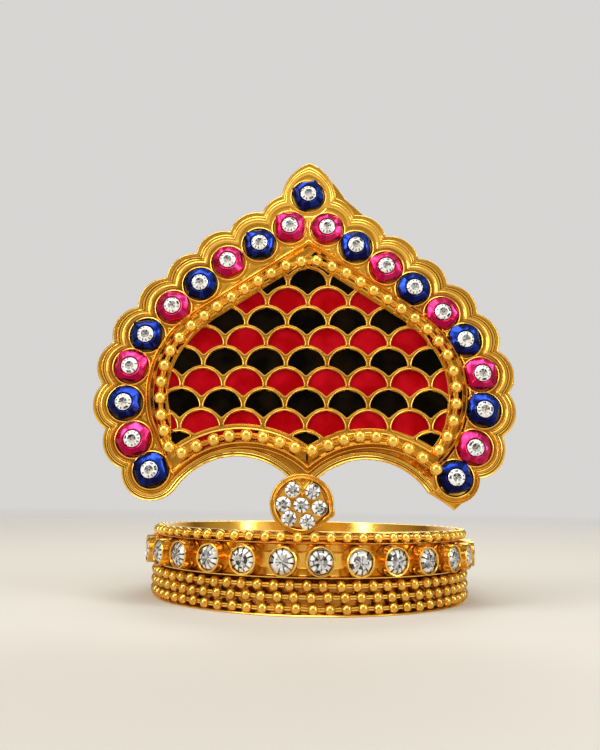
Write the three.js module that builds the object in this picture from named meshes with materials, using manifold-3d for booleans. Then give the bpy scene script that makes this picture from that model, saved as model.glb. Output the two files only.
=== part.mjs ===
// Deity crown: an upright scalloped crest plate standing on a round jewelled band.
// Millimetres, +Z up. The crest faces -Y and is symmetric about X = 0, and Z = 0 is the surface it stands on.
import * as THREE from 'three';
import { mergeVertices } from 'three/addons/utils/BufferGeometryUtils.js';
import Module from 'manifold-3d';

const wasm = await Module();
wasm.setup();

// Driving dimensions of the band. Radii are from the band's own axis.
const BAND = {
  axisX: 1.3,
  innerRadius: 22.8,
  wallRadius: 23.6,
  lipRadius: 24.9,
  lipHeight: 0.2,
  rimHeight: 10.4,
  rimBevel: 0.2,
  sides: 30,
};
const RIDGE_WIRES = [
  { bottom: 4.5, top: 4.8, radius: 24.2 },
  { bottom: 8.82, top: 9.04, radius: 24.1 },
];
const WIRE_SLOPE = 0.05;

// Ball chains round the band, each a tube of the beads' own diameter.
const BEAD_DIAMETER = 1.2;
const BEAD_ROW_RADIUS = 24.4;
const BEAD_ROWS = [
  { name: 'ball_chain_base', height: 0.92 },
  { name: 'ball_chain_lower', height: 2.32 },
  { name: 'ball_chain_upper', height: 3.74 },
  { name: 'ball_chain_rim', height: 9.72 },
];
const TUBE_SIDES = 8;

// Cup chain: clear stones in round cups, joined by flat links.
const CUP = {
  count: 30,
  firstAngle: THREE.MathUtils.degToRad(1.8),
  height: 6.8,
  backRadius: 23.75,
  depth: 2.2,
  baseRadius: 1.7,
  rimRadius: 1.9,
  stoneRadius: 1.6,
  tableRadius: 0.95,
  crown: 0.75,
  sides: 10,
};
const LINK = { tall: 1.0, thick: 0.4, lift: 0.25, overlap: 0.4 };

// Crest plate. Heights are measured forward from its flat back.
const PLATE_BACK_Y = -22.6;
const LOBE_RADIUS = 4.05;
const LOBE_STEPS = 5;
const STUD_SIDE = { x: 8.4, z: 28.45, radius: 15.75, firstDeg: -42.3, stepDeg: 18.34, count: 6 };
const STUD_SHOULDER = { endX: 2.62, endZ: 52.56, bulge: 0.75, count: 4 };
const TOP_STUD_Z = 57.37;
const PEAK = { springZ: 56.8, halfWidth: 3.86, rise: 5.6, steps: 4 };
const ARCH = { x: 8.55, z: 10.15, steps: 10 };
const CREST_HEART = new THREE.Vector2(0, 33);
const RIM_MOULDING = [
  { inset: 0, height: 0 },
  { inset: 0, height: 0.95 },
  { inset: 0.55, height: 0.6 },
  { inset: 0.85, height: 0.85 },
];
const COLLET = { outer: 2.5, inner: 2.28, foot: 0.3, top: 1.15, floor: 0.5, sides: 10 };
const CUTTER_TOP = 4;

// Odd leftovers of the hand cutting: a web beside the peak and a tip below the lowest right lobe.
const WEB = { height: 0.7, corners: [[2.2, 57.2], [4.4, 54.6], [8.0, 53.9], [5.5, 56.6], [3.0, 60.0]] };
const TIP = { height: 0.8, corners: [[17.4, 15.6], [19.9, 13.5], [21.6, 14.5], [19.6, 17.2]] };

// Panel: a pointed shield with round sides and two arched feet, bordered by a raised ridge.
const PANEL = {
  apexZ: 49.5,
  side: { x: 8.4, z: 28.45, radius: 12.9, steps: 8 },
  foot: { x: 8.45, z: 8.85, radius: 12.76, steps: 6 },
  recessInset: 0.3,
  floor: 0.5,
};
const PANEL_RIDGE = [
  { inset: -0.35, height: 0.4 },
  { inset: -0.15, height: 1.6 },
  { inset: 0.1, height: 1.6 },
  { inset: 0.3, height: 0.4 },
];
const PANEL_CHAIN = { inset: 1.3, height: 2.17, steps: 32, endGap: 0.5, rounding: 2 };

// Fish scales: rows of round-topped cells, black and red in turn, half a pitch apart.
const SCALES = {
  pitch: 5.68,
  rowStep: 2.84,
  topZ: 43.55,
  rows: 9,
  insideRadius: 2.45,
  outsideRadius: 3.08,
  bedRadius: 2.96,
  bedGap: 0.1,
};
const LATTICE = { inset: 0.45, bottom: 1.05, top: 1.35, ribOuter: 2.25, ribInner: 2.55, ribTop: 1.5 };
const ENAMEL = { inset: 0.7, bottom: 0.6, top: 0.95, leastWidth: 0.3 };
const LEAST_CELL_WIDTH = 1.2;
const TOP_SHARES = [54, 18, -18, -54].map((deg) => -Math.sin(THREE.MathUtils.degToRad(deg)));

// Studs: a foil cup that slopes up to a clear crystal.
const STUD = {
  bottom: 0.6,
  baseRadius: 1.95,
  rimRadius: 2.12,
  rim: 1.2,
  girdleRadius: 1.2,
  girdle: 1.75,
  tableRadius: 0.7,
  table: 2.2,
  sides: 8,
};

// Medallion: a dish on the crest's foot, and a rosette of one stone with six round it.
const DISH = { z: 14.5, radius: 3.85, lipRadius: 3.65, edge: 1.0, lip: 1.35, inner: 3.45, floor: 0.6, sides: 20 };
const ROSETTE = {
  radius: 3.25,
  bottom: 0.7,
  top: 1.0,
  ring: 2.15,
  count: 6,
  firstDeg: -5,
  stoneRadius: 1.04,
  girdle: 1.35,
  tableRadius: 0.65,
  table: 1.8,
  sides: 8,
  baseSides: 16,
};

// Tab: a plain strip soldered inside the band that carries the crest behind its dish.
const TAB = { width: 4, bottom: 4, top: 17, frontY: -23.2, seatY: -22.3, backY: -21.6, stepZ: 10.2 };

const MERGE_TOLERANCE = 1e-4;

const FINISH = {
  gold: { color: 0xd9a32b, roughness: 0.28, metalness: 1.0 },
  black: { color: 0x0c0a0b, roughness: 0.12, metalness: 0.0 },
  red: { color: 0xa80f22, roughness: 0.12, metalness: 0.0 },
  blue: { color: 0x1a2fb8, roughness: 0.2, metalness: 0.7 },
  pink: { color: 0xd21f74, roughness: 0.2, metalness: 0.7 },
  crystal: { color: 0xd9dde2, roughness: 0.05, metalness: 0.3 },
};

// Closed meshes

function signedVolume(positions, triangles) {
  const a = new THREE.Vector3();
  const b = new THREE.Vector3();
  const c = new THREE.Vector3();
  let six = 0;
  for (let i = 0; i < triangles.length; i += 3) {
    a.fromArray(positions, triangles[i] * 3);
    b.fromArray(positions, triangles[i + 1] * 3);
    c.fromArray(positions, triangles[i + 2] * 3);
    six += a.dot(b.cross(c));
  }
  return six / 6;
}

// Joins shared vertices, drops triangles without area and turns every face outwards.
function closedArrays(geometry) {
  const bare = geometry.clone();
  bare.deleteAttribute('normal');
  bare.deleteAttribute('uv');
  const merged = mergeVertices(bare, MERGE_TOLERANCE);
  const positions = Float32Array.from(merged.attributes.position.array);
  const kept = [];
  for (let i = 0; i < merged.index.count; i += 3) {
    const [a, b, c] = [0, 1, 2].map((corner) => merged.index.getX(i + corner));
    if (a !== b && b !== c && c !== a) kept.push(a, b, c);
  }
  if (signedVolume(positions, kept) < 0) kept.reverse();
  return { positions, triangles: Uint32Array.from(kept) };
}

function solidOf(geometry) {
  const { positions, triangles } = closedArrays(geometry);
  return new wasm.Manifold(new wasm.Mesh({ numProp: 3, vertProperties: positions, triVerts: triangles }));
}

function geometryFromArrays(positions, triangles) {
  const geometry = new THREE.BufferGeometry();
  geometry.setAttribute('position', new THREE.BufferAttribute(Float32Array.from(positions), 3));
  geometry.setIndex(new THREE.BufferAttribute(Uint32Array.from(triangles), 1));
  geometry.computeVertexNormals();
  return geometry;
}

function geometryOfSolid(solid) {
  const mesh = solid.getMesh();
  return geometryFromArrays(mesh.vertProperties, mesh.triVerts);
}

function closedGeometry(geometry) {
  const { positions, triangles } = closedArrays(geometry);
  return geometryFromArrays(positions, triangles);
}

function joined(solids) {
  return solids.reduce((whole, solid) => whole.add(solid));
}

// Skins a stack of loops with equal point counts. An open stack gets flat lids, a closed one runs back to its start.
function loft(loops, { ring = false } = {}) {
  const count = loops[0].length;
  const positions = loops.flat().flatMap((point) => point.toArray());
  const triangles = [];
  const bands = ring ? loops.length : loops.length - 1;
  for (let band = 0; band < bands; band += 1) {
    const low = band * count;
    const high = ((band + 1) % loops.length) * count;
    for (let i = 0; i < count; i += 1) {
      const next = (i + 1) % count;
      triangles.push(low + i, low + next, high + next, low + i, high + next, high + i);
    }
  }
  if (!ring) {
    const last = (loops.length - 1) * count;
    const lid = (loop) => THREE.ShapeUtils.triangulateShape(loop.map((p) => new THREE.Vector2(p.x, p.y)), []);
    lid(loops[0]).forEach(([a, b, c]) => triangles.push(c, b, a));
    lid(loops[loops.length - 1]).forEach(([a, b, c]) => triangles.push(last + a, last + b, last + c));
  }
  return geometryFromArrays(positions, triangles);
}

function lift(outline, height) {
  return outline.map((point) => new THREE.Vector3(point.x, point.y, height));
}

// A flat outline, with holes, made a slab between two heights.
function slab(outline, bottom, top, holes = []) {
  const shape = new THREE.Shape(outline);
  shape.holes = holes.map((hole) => new THREE.Path(hole));
  const geometry = new THREE.ExtrudeGeometry(shape, { depth: top - bottom, bevelEnabled: false });
  return geometry.translate(0, 0, bottom);
}

// A profile of [radius, height] pairs turned about the height axis, which points forward on the crest.
function turned(profile, sides) {
  const points = profile.map(([radius, height]) => new THREE.Vector2(radius, height));
  return new THREE.LatheGeometry(points, sides).rotateX(Math.PI / 2);
}

function disc(radius, bottom, top, sides) {
  return turned([[0, bottom], [radius, bottom], [radius, top], [0, top]], sides);
}

// Circles and outlines on the crest plane

function circlesMeet(a, b) {
  const gap = new THREE.Vector2(b.x - a.x, b.z - a.z);
  const distance = gap.length();
  const along = (a.radius ** 2 - b.radius ** 2 + distance ** 2) / (2 * distance);
  const across = Math.sqrt(Math.max(0, a.radius ** 2 - along ** 2));
  const unit = gap.divideScalar(distance);
  const foot = new THREE.Vector2(a.x + unit.x * along, a.z + unit.y * along);
  const normal = new THREE.Vector2(-unit.y, unit.x).multiplyScalar(across);
  return [foot.clone().add(normal), foot.clone().sub(normal)];
}

// Points from start towards end round a circle, without the end point.
function arcPoints(circle, start, end, steps, turn) {
  const angleOf = (point) => Math.atan2(point.y - circle.z, point.x - circle.x);
  const first = angleOf(start);
  const full = 2 * Math.PI;
  const sweep = turn * (((turn * (angleOf(end) - first)) % full + full) % full);
  return Array.from({ length: steps }, (_, i) => {
    const angle = first + (sweep * i) / steps;
    return new THREE.Vector2(
      circle.x + circle.radius * Math.cos(angle),
      circle.z + circle.radius * Math.sin(angle),
    );
  });
}

// Stud centres up the right side: round the panel's side, then along a slightly bowed shoulder.
function studsUpTheRight() {
  const places = [];
  for (let i = 0; i < STUD_SIDE.count; i += 1) {
    const angle = THREE.MathUtils.degToRad(STUD_SIDE.firstDeg + STUD_SIDE.stepDeg * i);
    places.push(new THREE.Vector2(
      STUD_SIDE.x + STUD_SIDE.radius * Math.cos(angle),
      STUD_SIDE.z + STUD_SIDE.radius * Math.sin(angle),
    ));
  }
  const from = places[places.length - 1];
  const chord = new THREE.Vector2(STUD_SHOULDER.endX - from.x, STUD_SHOULDER.endZ - from.y);
  const outward = new THREE.Vector2(chord.y, -chord.x).normalize();
  for (let i = 1; i <= STUD_SHOULDER.count; i += 1) {
    const share = i / STUD_SHOULDER.count;
    const bow = 4 * STUD_SHOULDER.bulge * share * (1 - share);
    places.push(from.clone().addScaledVector(chord, share).addScaledVector(outward, bow));
  }
  return places;
}

const RIGHT_STUDS = studsUpTheRight();

function mirrored(point) {
  return new THREE.Vector2(-point.x, point.y);
}

// Stud centres from the lowest left, over the top, to the lowest right.
function studCentres() {
  const left = RIGHT_STUDS.map(mirrored);
  return [...left, new THREE.Vector2(0, TOP_STUD_Z), ...[...RIGHT_STUDS].reverse()];
}

// The crest's edge as a round of arcs, anticlockwise from the lowest left lobe. The arches are hollow arcs.
function crestArcs() {
  const lobe = (place) => ({ x: place.x, z: place.y, radius: LOBE_RADIUS, hollow: false, steps: LOBE_STEPS });
  const lowest = RIGHT_STUDS[0];
  const archRadius = Math.hypot(lowest.x - ARCH.x, lowest.y - ARCH.z) - LOBE_RADIUS;
  const arch = (x) => ({ x, z: ARCH.z, radius: archRadius, hollow: true, steps: ARCH.steps });
  const flankRadius = (PEAK.halfWidth ** 2 + PEAK.rise ** 2) / (2 * PEAK.halfWidth);
  const flankX = flankRadius - PEAK.halfWidth;
  const flank = (x) => ({ x, z: PEAK.springZ, radius: flankRadius, hollow: false, steps: PEAK.steps });
  const right = RIGHT_STUDS.map(lobe);
  const left = RIGHT_STUDS.map(mirrored).map(lobe);
  return [left[0], arch(-ARCH.x), arch(ARCH.x), ...right, flank(-flankX), flank(flankX), ...left.slice(1).reverse()];
}

// Where two neighbouring arcs of the edge meet: a notch between lobes, a smooth joint from lobe to arch.
function edgeJoint(a, b) {
  const options = circlesMeet(a, b);
  const byDistance = options.sort((p, q) => p.distanceTo(CREST_HEART) - q.distanceTo(CREST_HEART));
  return a.hollow && b.hollow ? byDistance[0] : byDistance[1];
}

function crestOutline(inset) {
  const arcs = crestArcs().map((arc) => ({ ...arc, radius: arc.radius + (arc.hollow ? inset : -inset) }));
  const joints = arcs.map((arc, i) => edgeJoint(arc, arcs[(i + 1) % arcs.length]));
  return arcs.flatMap((arc, i) => {
    const start = joints[(i + arcs.length - 1) % arcs.length];
    return arcPoints(arc, start, joints[i], arc.steps, arc.hollow ? -1 : 1);
  });
}

// Angle of the panel's straight shoulders, which run from the apex and touch the side circle.
const SHOULDER_ANGLE = (() => {
  const drop = PANEL.apexZ - PANEL.side.z;
  const reach = Math.hypot(PANEL.side.x, drop);
  return Math.atan2(drop, PANEL.side.x) - Math.asin(PANEL.side.radius / reach);
})();

function panelCircles(inset) {
  return {
    side: { ...PANEL.side, radius: PANEL.side.radius - inset },
    foot: { ...PANEL.foot, radius: PANEL.foot.radius + inset },
  };
}

function panelApex(inset) {
  return PANEL.apexZ - inset / Math.cos(SHOULDER_ANGLE);
}

function shoulderEnd(inset) {
  const { side } = panelCircles(inset);
  return new THREE.Vector2(
    side.x + side.radius * Math.sin(SHOULDER_ANGLE),
    side.z + side.radius * Math.cos(SHOULDER_ANGLE),
  );
}

function panelOutline(inset) {
  const { side, foot } = panelCircles(inset);
  const cleft = new THREE.Vector2(0, foot.z + Math.sqrt(foot.radius ** 2 - foot.x ** 2));
  const corner = circlesMeet(foot, side).sort((p, q) => q.x - p.x)[0];
  const end = shoulderEnd(inset);
  const right = [
    ...arcPoints(foot, cleft, corner, foot.steps, -1),
    ...arcPoints(side, corner, end, side.steps, 1),
    end,
  ];
  const left = right.slice(1).map(mirrored).reverse();
  return [...right, new THREE.Vector2(0, panelApex(inset)), ...left];
}

// The panel's upper and lower edge above a place x.
function panelTop(x, inset) {
  const { side } = panelCircles(inset);
  const reach = Math.abs(x);
  if (reach < shoulderEnd(inset).x) return panelApex(inset) - reach * Math.tan(SHOULDER_ANGLE);
  return side.z + Math.sqrt(Math.max(0, side.radius ** 2 - (reach - side.x) ** 2));
}

function panelBottom(x, inset) {
  const { side, foot } = panelCircles(inset);
  const reach = Math.abs(x);
  const onFoot = foot.z + Math.sqrt(Math.max(0, foot.radius ** 2 - (reach - foot.x) ** 2));
  if (reach < side.x) return onFoot;
  return Math.max(onFoot, side.z - Math.sqrt(Math.max(0, side.radius ** 2 - (reach - side.x) ** 2)));
}

// Crest plate

function crestPlate() {
  const body = solidOf(loft(RIM_MOULDING.map(({ inset, height }) => lift(crestOutline(inset), height))));
  const places = studCentres();
  const collet = disc(COLLET.outer, COLLET.foot, COLLET.top, COLLET.sides);
  const pocket = disc(COLLET.inner, COLLET.floor, CUTTER_TOP, COLLET.sides);
  const at = (geometry, place) => solidOf(geometry.clone().translate(place.x, place.y, 0));
  const dish = turned([[0, 0], [DISH.radius, 0], [DISH.radius, DISH.edge], [DISH.lipRadius, DISH.lip], [0, DISH.lip]],
    DISH.sides);
  const dishHollow = disc(DISH.inner, DISH.floor, CUTTER_TOP, DISH.sides);
  const dishPlace = new THREE.Vector2(0, DISH.z);
  const leftovers = [WEB, TIP].map(({ height, corners }) => {
    const outline = corners.map(([x, z]) => new THREE.Vector2(x, z));
    return solidOf(slab(outline, 0, height));
  });
  const ridge = loft(PANEL_RIDGE.map(({ inset, height }) => lift(panelOutline(inset), height)), { ring: true });
  const recess = slab(panelOutline(PANEL.recessInset), PANEL.floor, CUTTER_TOP);
  const raised = joined([body, ...leftovers, ...places.map((place) => at(collet, place)), solidOf(ridge)]);
  const opened = raised.subtract(joined(places.map((place) => at(pocket, place))));
  const dished = opened.add(at(dish, dishPlace)).subtract(at(dishHollow, dishPlace));
  return geometryOfSolid(dished.subtract(solidOf(recess)));
}

// Fish-scale panel

function scaleRow(index) {
  const black = index % 2 === 0;
  const shift = black ? 0 : SCALES.pitch / 2;
  return { index, z: SCALES.topZ - SCALES.rowStep * index, colour: black ? 'black' : 'red', shift };
}

const SCALE_ROWS = Array.from({ length: SCALES.rows }, (_, index) => scaleRow(index));

// Height of a row of round scale tops above its centre line, at x, for a row shifted along by shift.
function scallopTop(x, shift, radius) {
  const place = x - shift;
  const offset = place - SCALES.pitch * Math.round(place / SCALES.pitch);
  return Math.sqrt(Math.max(0, radius ** 2 - offset ** 2));
}

// Upper and lower bound of a row at x: its own round tops, the tops of the row below, and the panel's edge.
function rowBounds(row, x, ownRadius, belowRadius, inset) {
  const below = scaleRow(row.index + 1);
  return {
    top: Math.min(row.z + scallopTop(x, row.shift, ownRadius), panelTop(x, inset)),
    bottom: Math.max(below.z + scallopTop(x, below.shift, belowRadius), panelBottom(x, inset)),
  };
}

// One enamel row: a wavy strip that lies under the lattice, from the panel's middle out to where the row ends.
function enamelRow(row) {
  const step = SCALES.pitch / 4;
  const half = [];
  for (let x = 0; x < PANEL.side.x + PANEL.side.radius - ENAMEL.inset; x += step) {
    const { top, bottom } = rowBounds(row, x, SCALES.bedRadius, SCALES.bedRadius + SCALES.bedGap, ENAMEL.inset);
    if (top - bottom < ENAMEL.leastWidth) break;
    half.push({ x, top, bottom });
  }
  const bounds = [...half.slice(1).map((bound) => ({ ...bound, x: -bound.x })).reverse(), ...half];
  const lower = bounds.map(({ x, bottom }) => new THREE.Vector2(x, bottom));
  const upper = bounds.map(({ x, top }) => new THREE.Vector2(x, top)).reverse();
  return closedGeometry(slab([...lower, ...upper], ENAMEL.bottom, ENAMEL.top));
}

// The opening of one scale in the lattice, or nothing where the panel's edge leaves too little of it.
function scaleOpening(row, centre) {
  const scan = 0.05;
  const inset = LATTICE.ribInner;
  const boundsAt = (x) => rowBounds(row, x, SCALES.insideRadius, SCALES.outsideRadius, inset);
  const open = [];
  for (let x = centre - SCALES.insideRadius; x <= centre + SCALES.insideRadius; x += scan) {
    const within = Math.abs(x) < PANEL.side.x + PANEL.side.radius - inset;
    const { top, bottom } = boundsAt(x);
    if (within && top - bottom > scan) open.push(x);
  }
  if (open.length * scan < LEAST_CELL_WIDTH) return null;
  const [first, last] = [open[0], open[open.length - 1]];
  const middle = (first + last) / 2;
  const half = (last - first) / 2;
  const corner = (x) => new THREE.Vector2(x, (boundsAt(x).top + boundsAt(x).bottom) / 2);
  const crown = TOP_SHARES.map((share) => middle + half * share).map((x) => new THREE.Vector2(x, boundsAt(x).top));
  const tip = centre > first + scan && centre < last - scan ? centre : middle;
  const foot = [(first + tip) / 2, tip, (tip + last) / 2].map((x) => new THREE.Vector2(x, boundsAt(x).bottom));
  return [corner(first), ...foot, corner(last), ...crown.reverse()];
}

function scaleLattice() {
  const openings = [];
  const most = Math.ceil(PANEL.side.radius * 2 / SCALES.pitch);
  SCALE_ROWS.forEach((row) => {
    for (let i = -most; i <= most; i += 1) {
      const opening = scaleOpening(row, row.shift + i * SCALES.pitch);
      if (opening) openings.push(opening);
    }
  });
  const net = slab(panelOutline(LATTICE.inset), LATTICE.bottom, LATTICE.top, openings);
  const rib = slab(panelOutline(LATTICE.ribOuter), LATTICE.bottom, LATTICE.ribTop, [panelOutline(LATTICE.ribInner)]);
  return geometryOfSolid(solidOf(net).add(solidOf(rib)));
}

// The panel's ball chain: a tube along the trough, rounded at the corners, whose two ends meet at the cleft.
function panelChain() {
  const corners = panelOutline(PANEL_CHAIN.inset).map((point) => new THREE.Vector3(point.x, point.y, 0));
  const loop = new THREE.CurvePath();
  corners.forEach((corner, i) => loop.add(new THREE.LineCurve3(corner, corners[(i + 1) % corners.length])));
  let points = loop.getSpacedPoints(PANEL_CHAIN.steps).slice(0, -1);
  for (let pass = 0; pass < PANEL_CHAIN.rounding; pass += 1) {
    points = points.map((point, i) => {
      const before = points[(i + points.length - 1) % points.length];
      const after = points[(i + 1) % points.length];
      return point.clone().multiplyScalar(2).add(before).add(after).divideScalar(4);
    });
  }
  const lastLeg = points[0].clone().sub(points[points.length - 1]);
  const end = points[0].clone().addScaledVector(lastLeg.normalize(), -PANEL_CHAIN.endGap);
  const path = new THREE.CatmullRomCurve3([...points, end], false, 'centripetal');
  const section = new THREE.Shape(Array.from({ length: TUBE_SIDES }, (_, i) => {
    const angle = (i * 2 * Math.PI) / TUBE_SIDES;
    return new THREE.Vector2(Math.cos(angle), Math.sin(angle)).multiplyScalar(BEAD_DIAMETER / 2);
  }));
  const tube = new THREE.ExtrudeGeometry(section, { steps: PANEL_CHAIN.steps, extrudePath: path });
  return closedGeometry(tube.translate(0, 0, PANEL_CHAIN.height));
}

// Stones

function stud() {
  return turned([
    [0, STUD.bottom],
    [STUD.baseRadius, STUD.bottom],
    [STUD.rimRadius, STUD.rim],
    [STUD.girdleRadius, STUD.girdle],
    [STUD.tableRadius, STUD.table],
    [0, STUD.table],
  ], STUD.sides);
}

function medallionStones() {
  const stone = turned([
    [0, ROSETTE.bottom],
    [ROSETTE.stoneRadius, ROSETTE.bottom],
    [ROSETTE.stoneRadius, ROSETTE.girdle],
    [ROSETTE.tableRadius, ROSETTE.table],
    [0, ROSETTE.table],
  ], ROSETTE.sides);
  const base = disc(ROSETTE.radius, ROSETTE.bottom, ROSETTE.top, ROSETTE.baseSides);
  const solids = [solidOf(base), solidOf(stone)];
  for (let i = 0; i < ROSETTE.count; i += 1) {
    const angle = THREE.MathUtils.degToRad(ROSETTE.firstDeg + (i * 360) / ROSETTE.count);
    const [x, y] = [ROSETTE.ring * Math.cos(angle), ROSETTE.ring * Math.sin(angle)];
    solids.push(solidOf(stone.clone().translate(x, y, 0)));
  }
  return geometryOfSolid(joined(solids));
}

// One cup lies along +Z from its back, and is turned out round the band with its link to the next cup.
function cupChain() {
  const front = CUP.depth + CUP.crown;
  const cup = turned([
    [0, 0],
    [CUP.baseRadius, 0],
    [CUP.rimRadius, CUP.depth],
    [CUP.stoneRadius, CUP.depth],
    [CUP.tableRadius, front],
    [0, front],
  ], CUP.sides);
  const step = (2 * Math.PI) / CUP.count;
  const linkRadius = CUP.backRadius + LINK.lift + LINK.thick / 2;
  const linkLength = 2 * (linkRadius * Math.sin(step / 2) - CUP.baseRadius + LINK.overlap);
  const link = new THREE.BoxGeometry(linkLength, LINK.tall, LINK.thick);
  const solids = [];
  for (let i = 0; i < CUP.count; i += 1) {
    const angle = CUP.firstAngle + step * i;
    solids.push(solidOf(cup.clone().translate(0, CUP.height, CUP.backRadius).rotateY(angle)));
    const midRadius = linkRadius * Math.cos(step / 2);
    solids.push(solidOf(link.clone().translate(0, CUP.height, midRadius).rotateY(angle + step / 2)));
  }
  return geometryOfSolid(joined(solids));
}

// Band

function ringOf(profile) {
  const points = [...profile, profile[0]].map(([radius, height]) => new THREE.Vector2(radius, height));
  return new THREE.LatheGeometry(points, BAND.sides);
}

function baseBand() {
  const wires = RIDGE_WIRES.flatMap(({ bottom, top, radius }) => [
    [BAND.wallRadius, bottom - WIRE_SLOPE],
    [radius, bottom],
    [radius, top],
    [BAND.wallRadius, top + WIRE_SLOPE],
  ]);
  const ring = ringOf([
    [BAND.innerRadius, 0],
    [BAND.lipRadius, 0],
    [BAND.lipRadius, BAND.lipHeight],
    [BAND.wallRadius, BAND.lipHeight],
    ...wires,
    [BAND.wallRadius, BAND.rimHeight - BAND.rimBevel],
    [BAND.wallRadius - BAND.rimBevel, BAND.rimHeight],
    [BAND.innerRadius, BAND.rimHeight],
  ]);
  const tabOutline = [
    [-TAB.backY, TAB.bottom],
    [-TAB.frontY, TAB.bottom],
    [-TAB.frontY, TAB.stepZ],
    [-TAB.seatY, TAB.stepZ],
    [-TAB.seatY, TAB.top],
    [-TAB.backY, TAB.top],
  ].map(([forward, height]) => new THREE.Vector2(-forward, height));
  const tab = slab(tabOutline, -TAB.width / 2, TAB.width / 2).rotateY(Math.PI / 2).translate(-BAND.axisX, 0, 0);
  return geometryOfSolid(solidOf(ring).add(solidOf(tab)));
}

function ballChainRing(height) {
  const profile = Array.from({ length: TUBE_SIDES }, (_, i) => {
    const angle = ((i + 0.5) * 2 * Math.PI) / TUBE_SIDES;
    const radius = BEAD_DIAMETER / 2;
    return [BEAD_ROW_RADIUS + radius * Math.cos(angle), height + radius * Math.sin(angle)];
  });
  return closedGeometry(ringOf(profile));
}

// Assembly

const materials = Object.fromEntries(
  Object.entries(FINISH).map(([name, look]) => [name, new THREE.MeshStandardMaterial({ ...look, flatShading: true })]),
);

function piece(name, geometry, finish) {
  const mesh = new THREE.Mesh(geometry, materials[finish]);
  mesh.name = name;
  return mesh;
}

// The crest's own frame: x to the right, y up, z forward. It is turned upright as a whole.
function crest() {
  const group = new THREE.Group();
  group.rotation.x = Math.PI / 2;
  group.position.y = PLATE_BACK_Y;
  group.add(piece('crest_plate', crestPlate(), 'gold'));
  group.add(piece('scale_lattice', scaleLattice(), 'gold'));
  group.add(piece('panel_chain', panelChain(), 'gold'));
  SCALE_ROWS.forEach((row) => {
    group.add(piece(`enamel_${row.colour}_${row.index + 1}`, enamelRow(row), row.colour));
  });
  studCentres().forEach((place, i) => {
    const name = `stud_${String(i + 1).padStart(2, '0')}`;
    const mesh = piece(name, closedGeometry(stud()), i % 2 === 0 ? 'blue' : 'pink');
    mesh.position.set(place.x, place.y, 0);
    group.add(mesh);
  });
  const stones = piece('medallion_stones', medallionStones(), 'crystal');
  stones.position.y = DISH.z;
  group.add(stones);
  return group;
}

// The band's own frame: its axis is y, and z points forward before the group is turned upright.
function band() {
  const group = new THREE.Group();
  group.rotation.x = Math.PI / 2;
  group.position.x = BAND.axisX;
  group.add(piece('base_band', baseBand(), 'gold'));
  group.add(piece('cup_chain', cupChain(), 'crystal'));
  BEAD_ROWS.forEach(({ name, height }) => group.add(piece(name, ballChainRing(height), 'gold')));
  return group;
}

const crown = new THREE.Group();
crown.name = 'deity_crown';
crown.add(crest(), band());

export default crown;
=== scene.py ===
"""Deity crown, dressed: a scalloped gilt crest with enamel fish scales, standing on a round jewelled band.

Sizes are in millimetres and repeat those of the part's solids. On the crest, x runs to the right and z up, and
heights are measured forward (towards -Y) from its flat back. The band is turned about an upright axis.
"""

import logging
import math
from dataclasses import dataclass
from enum import Enum
from typing import Sequence

import bmesh
import bpy
import numpy as np
from mathutils import Matrix, Vector


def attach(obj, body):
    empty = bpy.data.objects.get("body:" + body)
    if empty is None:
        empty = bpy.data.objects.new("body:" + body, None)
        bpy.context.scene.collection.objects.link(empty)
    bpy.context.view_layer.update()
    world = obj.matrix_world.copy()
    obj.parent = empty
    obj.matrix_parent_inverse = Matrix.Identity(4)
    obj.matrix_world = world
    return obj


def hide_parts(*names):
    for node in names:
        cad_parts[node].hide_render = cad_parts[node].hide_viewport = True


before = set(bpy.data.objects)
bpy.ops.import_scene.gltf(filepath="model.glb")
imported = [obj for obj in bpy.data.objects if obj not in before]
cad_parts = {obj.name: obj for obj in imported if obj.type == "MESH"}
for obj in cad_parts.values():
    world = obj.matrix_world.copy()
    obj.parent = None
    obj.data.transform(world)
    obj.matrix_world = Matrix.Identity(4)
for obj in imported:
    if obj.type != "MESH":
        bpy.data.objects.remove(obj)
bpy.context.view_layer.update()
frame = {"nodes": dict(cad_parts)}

Array = np.ndarray
Chance = np.random.Generator
Colour = tuple[float, float, float]
Material = bpy.types.Material
Profile = tuple[tuple[float, float], ...]
Socket = bpy.types.NodeSocket

MM = 0.001
ROOT = "root"
FULL_TURN = 2.0 * math.pi
log = logging.getLogger("deity_crown")


# Small sums used everywhere


def ramp(values: Array, low: float, high: float) -> Array:
    """How far values have come from low, at 0, to high, at 1, held at those ends. High may be the lesser."""
    return np.clip((values - low) / (high - low), 0.0, 1.0)


def half_chord(radius: float, away: Array | float) -> Array:
    """Half the chord of a circle at a distance from its centre: the root of r squared less d squared, or 0."""
    return np.sqrt(np.clip(radius ** 2 - away ** 2, 0.0, None))


def even_angles(count: int, start: float = 0.0) -> Array:
    """Angles evenly round a full turn, the first one a share of a step from 0."""
    return (np.arange(count) + start) * FULL_TURN / count


def lengths_along(path: Array) -> Array:
    """Distance along a path to each of its points: the running sum of the steps between them."""
    return np.concatenate([[0.0], np.cumsum(np.hypot(*np.diff(path, axis=0).T))])


def points_along(path: Array, along: Array, stops: Array) -> Array:
    """Points of a flat path at distances along it, between its own points in proportion."""
    return np.stack([np.interp(stops, along, path[:, 0]), np.interp(stops, along, path[:, 1])], axis=1)


def spins(angle: Array) -> Array:
    """Turns about the local Z axis by each angle, a (k, 3, 3) array."""
    cos, sin, zero = np.cos(angle), np.sin(angle), np.zeros_like(angle)
    rows = [[cos, -sin, zero], [sin, cos, zero], [zero, zero, zero + 1.0]]
    return np.stack([np.stack(row, axis=-1) for row in rows], axis=-2)


# Skins: closed surfaces as whole arrays


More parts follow.
